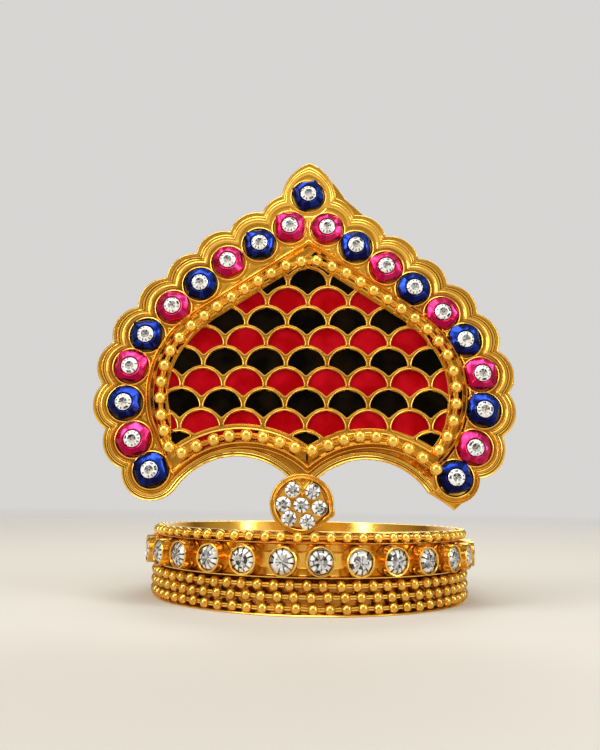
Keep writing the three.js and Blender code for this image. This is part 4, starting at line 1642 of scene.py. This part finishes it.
    def chain_places(self) -> Array:
        """Spaces the beads along the trough, from the lower right corner round to it again, two beside the apex.

        The chain's distance from the ridge changes with height, between those at the feet, sides and shoulders.
        Along the right foot it drifts outwards, up on the ridge, and its last bead lies outside it.

        Returns:
            The bead centres, a (k, 2) array.
        """
        foot, side, shoulder = self.panel.loops(self.chain_insets)
        low = np.interp(side[:, 1], self.chain_z[:2], (1.0, 0.0))[:, None]
        high = np.interp(side[:, 1], self.chain_z[1:], (0.0, 1.0))[:, None]
        loop = side + low * (foot - side) + high * (shoulder - side)
        corner = self.panel.foot.steps
        inward = loop[:corner] - [self.panel.foot.x, self.panel.foot.z]
        drift = np.interp(loop[:corner, 0], self.drift_x, (0.0, self.drift)) / np.hypot(*inward.T)
        loop[:corner] -= drift[:, None] * inward
        path = np.concatenate([loop[corner:], loop[:corner], [self.chain_end]])
        for _ in range(self.smoothings):
            path[1:-1] = (2.0 * path[1:-1] + path[2:] + path[:-2]) / 4.0
        along = lengths_along(path)
        apex = along[int(np.argmax(path[:, 1]))]
        up, down = apex - self.chain_start, along[-1] - apex
        before, after = (round(way / self.bead_pitch - 0.5) for way in (up, down))
        rising = apex - (np.arange(before, -1, -1) + 0.5) * up / (before + 0.5)
        falling = apex + (np.arange(after + 1) + 0.5) * down / (after + 0.5)
        return points_along(path, along, np.concatenate([rising, falling]))

    def chain(self) -> list[Skin]:
        """Strings the trough's beads, with a pair of short wires from each to the next, higher over the ridge."""
        places = self.chain_places()
        chance = np.random.default_rng(23)
        places = places + chance.normal(0.0, 0.04, places.shape)
        climb = 0.5 * ramp(self.panel.inside(*places.T), 0.8, 0.0)
        height = self.chain_height + climb + chance.normal(0.0, 0.03, len(places))
        centres = on_panel(*places.T, height)
        return string_of_beads(centres, bead(self.bead_diameter, 4), self.rails, CREST_AXES[:, 2], closed=False)

    def trough_floor(self) -> list[Skin]:
        """Lays a gilt floor in stretches of the trough."""
        insets, heights = np.array(self.trough).T
        loops = self.panel.loops(insets)
        slabs = []
        for first, last in self.floor_runs:
            x, z = np.moveaxis(loops[:, first:last], -1, 0)
            # Grime and painted shade darken the trough floor under the chain.
            slabs.append(slab_skin(on_panel(x, z, heights[:, None]), on_panel(x, z, self.bed_height), 0.48))
        return slabs

    def foot_trough(self) -> Skin:
        """Pours the red enamel of the trough along the left foot."""
        share = np.linspace(0.0, 1.0, 5)[:, None]
        loops = self.panel.loops(np.linspace(*self.red_insets, len(share)))
        x, z = np.moveaxis(loops[:, slice(*self.red_run)], -1, 0)
        z = z - (self.sag + self.askew * x) * share
        return slab_skin(on_panel(x, z, self.red_height), on_panel(x, z, self.bed_height))

    def build(self, finishes: Finishes) -> None:
        """Makes the frames, the enamel rows and the chain.

        Args:
            finishes: the crown's materials.
        """
        look, node = [finishes.plate], ["scale_lattice"]
        # The ledge carries grime and painted shade all over.
        edging = [self.border_skin(), self.panel.ring(self.ledge, 0.55), *self.trough_floor()]
        make_piece("scale_frames", self.frames(), look, node)
        make_piece("scale_border", edging, look, node)
        chance = np.random.default_rng(3)
        poured: list[list[Skin]] = [[] for _ in range(self.rows)]
        for row in self.all_rows():
            cells = [self.cell(row, x0, chance) for x0 in self.row_centres(row)]
            home = max(row, 0) if row < self.rows else self.foot_row
            poured[home] += [cell for cell in cells if cell is not None]
        poured[self.foot_row].append(self.foot_trough())
        for row, cells in enumerate(poured):
            name, glaze = ("black", finishes.black) if row % 2 == 0 else ("red", finishes.red)
            make_piece(f"{name}_enamel_row_{row + 1}", cells, [glaze],
                       [f"enamel_{name}_{row + 1}"])
        make_piece("trough_ball_chain", self.chain(), [finishes.chain], ["panel_chain"])


@dataclass
class FoilStuds:
    """The studs: a crumpled pillow of coloured foil with a clear cut stone in its middle.

    Attributes:
        profile: of a pillow, in pairs of radius, as a share, and height.
        shadow: the foil's painted shade: how deep it is, how that differs round the stud, and its turn in radians.
    """

    edge: CrestEdge
    radius: float = 2.26
    stone: Brilliant = Brilliant(1.10, 1.93, 2.22, 1.4, 24, StoneKind.PALE)
    profile: Profile = (
        (0.0, 0.60), (0.90, 0.60), (0.97, 0.85), (1.0, 1.18), (0.96, 1.42), (0.80, 1.70), (0.61, 1.90),
        (0.565, 1.86), (0.545, 1.65), (0.0, 1.65),
    )
    half_petals: tuple[int, int] = (8, 11)
    corners: tuple[int, int] = (4, 6)
    petal_spread: float = 0.16
    turn_spread: float = 0.25
    square: float = 0.55
    high: float = 0.03
    edge_spread: float = 0.018
    square_from: tuple[float, float] = (0.6, 0.95)
    crease: float = 0.14
    crease_spread: float = 0.11
    slope_at: float = 0.86
    slope_width: float = 0.2
    wall_height: float = 1.1
    shadow: tuple[float, float, float] = (0.34, 0.50, 0.35)
    set_spread: float = 0.05

    def foil(self, centre: Array, chance: Chance) -> Skin:
        """Presses one foil pillow from flat petals, each with its own shade.

        The outline is a blend of a circle and a polygon of four or five corners, two of them on top, whose radius
        is cos(pi / n) over the cosine of the angle from the middle of its side. Petals end at unequal angles and
        heights, and their colour is painted deeper from the upper left to the lower right as shade, and deep
        on the low wall under the pillow.

        Args:
            centre: x and z of the stud.
            chance: the seeded source of its shape.

        Returns:
            The skin.
        """
        share, height = np.hsplit(np.array(self.profile), 2)
        petals = 2 * int(chance.integers(*self.half_petals))
        angle = (np.arange(petals) + chance.normal(0.0, self.petal_spread, petals)) * FULL_TURN / petals
        part = FULL_TURN / int(chance.integers(*self.corners))
        turn = (math.pi - part) / 2.0 + chance.normal(0.0, self.turn_spread)
        polygon = 1.0 / np.cos((angle - turn) % part - part / 2.0)
        edge = self.square * (polygon / polygon.mean() - 1.0) + self.high * np.sin(angle)
        edge = edge + chance.normal(0.0, self.edge_spread, petals)
        radius = self.radius * share * (1.0 + ramp(share, *self.square_from) * edge)
        slope = np.clip(1.0 - np.abs(share - self.slope_at) / self.slope_width, 0.0, 1.0)
        slope = slope * (height > self.wall_height)
        creases = self.crease * (-1.0) ** np.arange(petals) + chance.normal(0.0, self.crease_spread, petals)
        # Painted shade: deeper from the upper left to the lower right, and deep on the low wall under the pillow.
        deep, differ, start = self.shadow
        grime_and_shade = np.clip(deep - differ * np.sin(angle + start) + (height < self.wall_height) * 0.8, 0.0, 1.0)
        shade = np.tile(chance.random(petals), len(share) - 1)
        x, z = centre[0] + radius * np.cos(angle), centre[1] + radius * np.sin(angle)
        return ring_skin(on_crest(x, z, height + slope * creases), grime_and_shade, False, shade=shade, smooth=False)

    def build(self, finishes: Finishes) -> None:
        """Makes each stud, blue and pink in turn.

        Args:
            finishes: the crown's materials.
        """
        chance = np.random.default_rng(41)
        studs = self.edge.studs()
        centres = studs + chance.normal(0.0, self.set_spread, studs.shape)
        spin = chance.uniform(0.0, FULL_TURN, len(centres))
        painted_reflections = self.stone.painted_reflections(spin, chance)
        axes, places = spun_crest_axes(spin), on_crest(*centres.T, 0.0)
        cut = self.stone.skin(1)
        for i, centre in enumerate(centres):
            one = slice(i, i + 1)
            pieces = [self.foil(centre, chance), repeated_skin(cut, axes[one], places[one], painted_reflections[one])]
            slot, look = ("foil_blue", finishes.blue) if i % 2 == 0 else ("foil_pink", finishes.pink)
            number = f"stud_{i + 1:02d}"
            make_piece(f"foil_{number}", pieces, [look, finishes.stone], [number], 30.0)


@dataclass
class Medallion:
    """The rosette in the dish: seven stones in small gilt cups on a round base."""

    centre: tuple[float, float] = (-0.12, 13.92)
    ring_radius: float = 2.27
    width: float = 1.05
    angles_deg: tuple[float, ...] = (-8.0, 52.0, 120.0, 178.0, 229.0, 290.0)
    base: Profile = ((0.0, 0.60), (3.15, 0.60), (3.15, 0.80), (3.00, 0.88), (0.0, 0.90))
    base_sides: int = 48
    cup: Profile = (
        (0.0, 0.70), (1.05, 0.70), (1.08, 1.20), (1.10, 1.34), (1.08, 1.40), (1.04, 1.41), (1.02, 1.34),
        (1.01, 1.10), (0.0, 1.10),
    )
    cup_sides: int = 20
    stone: Brilliant = Brilliant(1.02, 1.36, 1.66, 1.0, 16)

    def places(self) -> Array:
        """Stone places: one in the middle and six round it."""
        angle = np.radians(self.angles_deg)
        ring = self.ring_radius * np.stack([self.width * np.cos(angle), np.sin(angle)], axis=1)
        flat = np.concatenate([[[0.0, 0.0]], ring]) + np.array(self.centre)
        return on_crest(*flat.T, 0.0)

    def build(self, finishes: Finishes) -> None:
        """Makes the base with its cups, and the stones.

        Args:
            finishes: the crown's materials.
        """
        chance = np.random.default_rng(77)
        places = self.places()
        spin = chance.uniform(0.0, FULL_TURN, len(places))
        axes = spun_crest_axes(spin)
        # The round base is darkened all over with grime and painted shade.
        base = repeated_skin(turned_skin(self.base, self.base_sides, 0.5), axes[:1], places[:1])
        cups = repeated_skin(turned_skin(self.cup, self.cup_sides, 0.15), axes, places)
        stones = repeated_skin(self.stone.skin(0), axes, places, self.stone.painted_reflections(spin, chance))
        make_piece("rosette_cups", [base, cups], [finishes.plate], ["medallion_stones"])
        make_piece("rosette_stones", [stones], [finishes.stone], ["medallion_stones"])


@dataclass
class Band:
    """The round band: a turned wall with two ridge wires, a plain inside, a tab, a cup chain and four ball chains.

    Attributes:
        wall: its section, in pairs of radius and height.
        hammering: size, number round the band and start of each wave of the inside.
        tab: height, share of the width, and back and front of each station along the tab.
        solder: place and size of each lump.
        bead_rows: name, height, and grime and painted shade of each row.
        link: length, height, thickness and cut edge of the bar between two cups.
    """

    axis_x: float = 1.3
    sides: int = 216
    wall: Profile = (
        (22.95, 0.0), (24.74, 0.0), (24.86, 0.04), (24.90, 0.12), (24.84, 0.22), (24.60, 0.27), (23.78, 0.30),
        (23.66, 0.40), (23.62, 0.60), (23.60, 4.30), (23.66, 4.42), (23.90, 4.49), (24.12, 4.53), (24.20, 4.60),
        (24.20, 4.70), (24.12, 4.77), (23.90, 4.81), (23.68, 4.87), (23.60, 5.00), (23.60, 8.62), (23.66, 8.74),
        (23.86, 8.81), (24.04, 8.84), (24.10, 8.90), (24.10, 8.97), (24.04, 9.02), (23.86, 9.06), (23.66, 9.12),
        (23.60, 9.24), (23.60, 10.18), (23.56, 10.32), (23.44, 10.39), (23.20, 10.40), (22.96, 10.39),
        (22.84, 10.33), (22.80, 10.20), (22.80, 5.00), (22.80, 0.20), (22.84, 0.06),
    )
    wall_height: float = 10.4
    inside_radius: float = 22.9
    groove_radii: tuple[float, float] = (23.5, 23.7)
    shaded_z: tuple[float, float] = (4.5, 9.1)
    hammering: tuple[tuple[float, float, float], ...] = ((0.022, 7.0, 1.0), (0.015, 17.0, 0.0), (0.010, 29.0, 2.0))
    tab_half_width: float = 1.55
    tab: tuple[tuple[float, float, float, float], ...] = (
        (4.0, 0.90, -23.10, -21.75), (4.15, 1.0, -23.20, -21.60), (9.80, 1.0, -23.20, -21.60),
        (10.30, 1.0, -22.90, -21.58), (10.80, 1.0, -22.40, -21.58), (11.40, 1.0, -22.30, -21.60),
        (16.40, 1.0, -22.30, -21.60), (16.85, 0.9, -22.30, -21.64), (17.0, 0.75, -22.28, -21.75),
    )
    tab_sides: int = 24
    tab_power: float = 0.35
    solder: tuple[tuple[tuple[float, float, float], tuple[float, float, float]], ...] = (
        ((0.0, -22.46, 14.2), (5.2, 0.5, 5.4)), ((-1.7, -22.62, 8.6), (1.5, 0.7, 2.6)),
        ((1.8, -22.62, 6.2), (1.3, 0.7, 2.2)), ((0.3, -22.60, 4.1), (2.6, 0.8, 0.9)),
    )
    # Each row's grime and painted shade: the three low rows darker, the rim row hardly.
    bead_rows: tuple[tuple[str, float, float], ...] = (
        ("base", 0.92, 0.38), ("lower", 2.32, 0.38), ("upper", 3.74, 0.34), ("rim", 9.72, 0.05),
    )
    bead_count: int = 71
    bead_row_radius: float = 24.4
    bead_diameter: float = 1.46
    row_start: float = 0.09
    bead_spread: float = 0.0035
    bead_rise: float = 0.035
    rails: Rails = Rails(0.28, 0.15)
    cup_count: int = 30
    first_cup_deg: float = 2.6
    bunching: float = 0.035
    cup_spread: float = 0.006
    cup_rise: float = 0.05
    cup_height: float = 6.8
    cup_back_radius: float = 23.75
    cup: Profile = (
        (0.0, -0.10), (1.92, -0.10), (1.96, 0.02), (1.94, 1.00), (1.90, 1.85), (1.88, 2.10), (1.90, 2.24),
        (1.88, 2.36), (1.80, 2.43), (1.70, 2.42), (1.63, 2.32), (1.61, 2.05), (1.60, 1.60), (0.0, 1.60),
    )
    # Grime and painted shade of a cup along its profile: some outside, none on the bezel, deep on the floor under
    # the stone.
    cup_grime_and_shade: tuple[float, ...] = (0.3,) * 4 + (0.0,) * 6 + (0.5, 0.8, 0.9, 0.9)
    cup_sides: int = 22
    stone: Brilliant = Brilliant(1.62, 2.02, 2.52, 1.5, 22)
    link: tuple[float, float, float, float] = (1.75, 2.0, 0.5, 0.08)
    link_out: float = 0.12

    def round_axis(self, angle: Array, radius: Array | float, z: Array | float) -> Array:
        """Places points round the band: angle 0 is at its front, and positive angles go to the right."""
        x = self.axis_x + radius * np.sin(angle)
        return np.stack(np.broadcast_arrays(x, -radius * np.cos(angle), z), axis=-1)

    @staticmethod
    def outward_axes(angle: Array) -> Array:
        """Axes at each angle whose columns run along the band, up, and outwards."""
        return spins(angle) @ CREST_AXES

    def wall_skin(self) -> Skin:
        """Turns the wall, its inside a little wavy from hammering: a sum of sines of the angle."""
        radius, height = np.hsplit(np.array(self.wall), 2)
        angle = even_angles(self.sides)
        wave = sum(size * np.sin(number * angle + start) for size, number, start in self.hammering)
        inner = (radius < self.inside_radius) * np.sin(ramp(height, 0.0, self.wall_height) * math.pi)
        low, high = self.groove_radii
        # Grime and painted shade on the wall's outer face, heavier below and above the cups, behind the bead rows.
        groove = (radius > low) & (radius < high)
        behind = (height < self.shaded_z[0]) | (height > self.shaded_z[1])
        grime_and_shade = np.where(groove, 0.45, 0.05) + np.where(groove & behind, 0.40, 0.0)
        return ring_skin(self.round_axis(angle, radius + inner * wave, height), grime_and_shade)

    def tab_skin(self) -> Skin:
        """Bends the strip that carries the crest: rounded loops from inside the wall up behind the dish.

        Each loop is a circle's cosine and sine, their sizes raised to a power under 1, which makes it squarer.
        """
        z, width, back, front = np.hsplit(np.array(self.tab), 4)
        angle = even_angles(self.tab_sides, 0.5)
        across, through = (np.sign(w) * np.abs(w) ** self.tab_power for w in (np.cos(angle), np.sin(angle)))
        x = self.tab_half_width * width * across
        y = (back + front) / 2.0 + (front - back) / 2.0 * through
        return capped_skin(np.stack(np.broadcast_arrays(x, y, z), axis=-1), 0.2)

    def solder_skin(self) -> Skin:
        """Leaves flattened lumps of solder where the tab meets the crest and the wall."""
        places, sizes = np.moveaxis(np.array(self.solder), 1, 0)
        return repeated_skin(bead(1.0, 6), np.eye(3) * sizes[:, None, :], places)

    def cups(self) -> tuple[list[Skin], Skin]:
        """Sets the cups round the band, joined by flat bars, and a cut stone in each.

        The chain was pulled a little towards the front, which moves a cup by -b sin 3a from its even angle a.

        Returns:
            The cups with their bars, and the stones.
        """
        chance = np.random.default_rng(19)
        count = self.cup_count
        angle = math.radians(self.first_cup_deg) + FULL_TURN / count * np.arange(count)
        angle = angle - self.bunching * np.sin(3.0 * angle) + chance.normal(0.0, self.cup_spread, count)
        axes = self.outward_axes(angle)
        height = self.cup_height + chance.normal(0.0, self.cup_rise, count)
        places = self.round_axis(angle, self.cup_back_radius, height)
        cups = repeated_skin(turned_skin(self.cup, self.cup_sides, self.cup_grime_and_shade), axes, places)
        spin = chance.uniform(0.0, FULL_TURN, count)
        painted_reflections = self.stone.painted_reflections(spin, chance)
        stones = repeated_skin(self.stone.skin(0), axes @ spins(spin), places, painted_reflections)
        between = angle + ((np.roll(angle, -1) - angle) % FULL_TURN) / 2.0
        middles = self.round_axis(between, self.cup_back_radius + self.link_out, self.cup_height)
        return [cups, repeated_skin(bar(*self.link), self.outward_axes(between), middles)], stones

    def ball_chain(self, height: float, grime_and_shade: float, chance: Chance) -> list[Skin]:
        """Strings one row of beads round the band, hand laid: each bead a little off its even place.

        Args:
            height: of the row.
            grime_and_shade: how much grime and painted shade dull its beads.
            chance: the seeded source of the errors and of where the row starts.

        Returns:
            The beads and the wires.
        """
        angle = even_angles(self.bead_count) + chance.uniform(0.0, self.row_start)
        angle = angle + chance.normal(0.0, self.bead_spread, self.bead_count)
        z = height + chance.normal(0.0, self.bead_rise, self.bead_count)
        centres = self.round_axis(angle, self.bead_row_radius, z)
        outward = (centres - self.round_axis(angle, 0.0, z)) / self.bead_row_radius
        return string_of_beads(centres, bead(self.bead_diameter, 3, grime_and_shade), self.rails, outward)

    def build(self, finishes: Finishes) -> None:
        """Makes the band and everything strung round it.

        Args:
            finishes: the crown's materials.
        """
        look = [finishes.band]
        make_piece("band_wall", [self.wall_skin()], look, ["base_band"])
        make_piece("crest_tab", [self.tab_skin(), self.solder_skin()], look, ["base_band"])
        cups, stones = self.cups()
        make_piece("stone_cups", cups, look, ["cup_chain"])
        make_piece("band_stones", [stones], [finishes.stone], ["cup_chain"])
        chance = np.random.default_rng(29)
        for name, height, grime_and_shade in self.bead_rows:
            beads = self.ball_chain(height, grime_and_shade, chance)
            make_piece(f"{name}_ball_chain", beads, [finishes.chain], [f"ball_chain_{name}"])


# Studio


@dataclass(frozen=True)
class Softbox:
    """A soft light that faces the crown: its place and size in metres, power and colour."""

    name: str
    place: tuple[float, float, float]
    width: float
    height: float
    power: float
    colour: Colour
    aim: tuple[float, float, float] = (0.0, 0.0, 0.03)

    def hang(self) -> None:
        """Adds the light to the scene."""
        lamp = bpy.data.lights.new(self.name, "AREA")
        lamp.shape = "RECTANGLE"
        lamp.size = self.width
        lamp.size_y = self.height
        lamp.energy = self.power
        lamp.color = self.colour
        holder = bpy.data.objects.new(self.name, lamp)
        holder.location = self.place
        towards = Vector(self.aim) - Vector(self.place)
        holder.rotation_euler = towards.to_track_quat("-Z", "Y").to_euler()
        bpy.context.scene.collection.objects.link(holder)


@dataclass
class Studio:
    """The camera at the photograph's place, a pale floor, and soft lights in a light tent.

    Attributes:
        tent: colour of its light by direction, from behind the crown, at -1, to the camera's side, at 1.
    """

    camera_place: tuple[float, float, float] = (-0.0007, -0.11029, 0.01407)
    pitch_deg: float = 11.10
    roll_deg: float = 0.95
    lens: float = 31.2
    sensor: float = 36.0
    clip: tuple[float, float] = (0.005, 20.0)
    softboxes: tuple[Softbox, ...] = (
        Softbox("top_softbox", (-0.06, -0.27, 0.47), 0.42, 0.26, 1.6, (1.0, 0.99, 0.97)),
        Softbox("left_strip", (-0.40, -0.30, 0.24), 0.12, 0.36, 1.1, (1.0, 0.99, 0.96)),
        Softbox("right_strip", (0.43, -0.26, 0.20), 0.10, 0.36, 0.8, (1.0, 0.99, 0.96)),
        Softbox("back_softbox", (0.12, 0.42, 0.40), 0.40, 0.25, 0.9, (1.0, 0.98, 0.95)),
    )
    floor_colour: Colour = (0.64, 0.635, 0.625)
    floor_fade: tuple[float, float] = (0.08, 1.2)
    floor_grid: tuple[int, int] = (24, 64)
    tent: tuple[tuple[float, Colour], ...] = (
        (-1.0, (0.90, 0.84, 0.70)), (-0.75, (0.55, 0.48, 0.34)), (-0.50, (0.10, 0.07, 0.03)),
        (-0.20, (0.32, 0.26, 0.14)), (0.30, (0.50, 0.44, 0.30)), (0.62, (1.0, 0.95, 0.88)),
        (0.84, (0.92, 0.85, 0.72)), (0.94, (0.50, 0.39, 0.15)), (1.0, (0.32, 0.23, 0.06)),
    )
    backdrop_colour: Colour = (0.68, 0.67, 0.655)

    def camera(self) -> None:
        """Sets up the camera, tilted up by the pitch and turned about its view by the roll."""
        data = bpy.data.cameras.new("camera")
        data.lens = self.lens
        data.sensor_width = self.sensor
        data.clip_start, data.clip_end = self.clip
        holder = bpy.data.objects.new("camera", data)
        tilt = Matrix.Rotation(math.radians(90.0 + self.pitch_deg), 4, "X")
        turn = tilt @ Matrix.Rotation(math.radians(self.roll_deg), 4, "Z")
        holder.location = self.camera_place
        holder.rotation_euler = turn.to_euler()
        bpy.context.scene.collection.objects.link(holder)
        bpy.context.scene.camera = holder

    def floor(self) -> None:
        """Lays a round level floor: rings of points at growing radii about the crown, fading out far away.

        With t the share of the way from the near to the far radius by their logarithms, it fades by
        t t (3 - 2 t).
        """
        near, far = self.floor_fade
        rings, sides = self.floor_grid
        radius = np.geomspace(near / 3.0, far, rings)[:, None]
        angle = even_angles(sides)
        grid = np.stack(np.broadcast_arrays(radius * np.cos(angle), radius * np.sin(angle), 0.0), axis=-1)
        mesh = bpy.data.meshes.new("floor")
        faces = [*grid_quads(rings, sides, False, True)[:, ::-1].tolist(), list(range(sides))]
        mesh.from_pydata(grid.reshape(-1, 3).tolist(), [], faces)
        share = np.clip(np.log(radius[:, 0] / near) / math.log(far / near), 0.0, 1.0)
        cover = mesh.attributes.new("cover", "FLOAT", "POINT")
        cover.data.foreach_set("value", np.repeat(1.0 - share ** 2 * (3.0 - 2.0 * share), sides))
        mesh.polygons.foreach_set("use_smooth", np.ones(len(mesh.polygons), dtype=bool))
        graph = Dressing("floor_paper")
        tone = graph.span(graph.noise(3.0), 0.3, 0.7, 0.0, 1.0)
        darker = tuple(0.97 * value for value in self.floor_colour)
        graph.set(Base_Color=graph.blend(tone, self.floor_colour, darker), Alpha=graph.attribute("cover"),
                  Roughness=0.8)
        mesh.materials.append(graph.material)
        floor = bpy.data.objects.new("floor", mesh)
        bpy.context.scene.collection.objects.link(floor)

    def light(self) -> None:
        """Hangs the softboxes in a tent, dim at its sides and round the camera."""
        for softbox in self.softboxes:
            softbox.hang()
        world = bpy.data.worlds.new("tent")
        world.use_nodes = True
        graph = Graph(world.node_tree)
        way = graph.node("SeparateXYZ", Vector=graph.node("TexCoord").outputs["Generated"])
        cloth = graph.node("ValToRGB", Fac=graph.span(way.outputs["Y"], 1.0, -1.0, 0.0, 1.0))
        stops = cloth.color_ramp.elements
        stops[0].color, stops[1].color = ((*self.tent[i][1], 1.0) for i in (0, -1))
        for cosine, colour in self.tent[1:-1]:
            stops.new((1.0 + cosine) / 2.0).color = (*colour, 1.0)
        seen = graph.node("LightPath").outputs["Is Camera Ray"]
        sky = graph.blend(seen, cloth.outputs["Color"], self.backdrop_colour)
        graph.fill(graph.tree.nodes["Background"], Color=sky)
        bpy.context.scene.world = world
        bpy.context.scene.view_settings.view_transform = "Standard"

    def build(self) -> None:
        """Sets up the camera, the floor and the lights."""
        self.camera()
        self.floor()
        self.light()


def main() -> None:
    """Dresses the crown: studio, finishes, crest, panel, studs, medallion and band."""
    logging.basicConfig(level=logging.INFO, format="%(name)s %(message)s")
    Studio().build()
    finishes = Finishes.build()
    edge, panel = CrestEdge(), PanelEdge()
    CrestPlate(edge, panel).build(finishes)
    ScalePanel(panel).build(finishes)
    FoilStuds(edge).build(finishes)
    Medallion().build(finishes)
    Band().build(finishes)


if __name__ == "__main__":
    main()
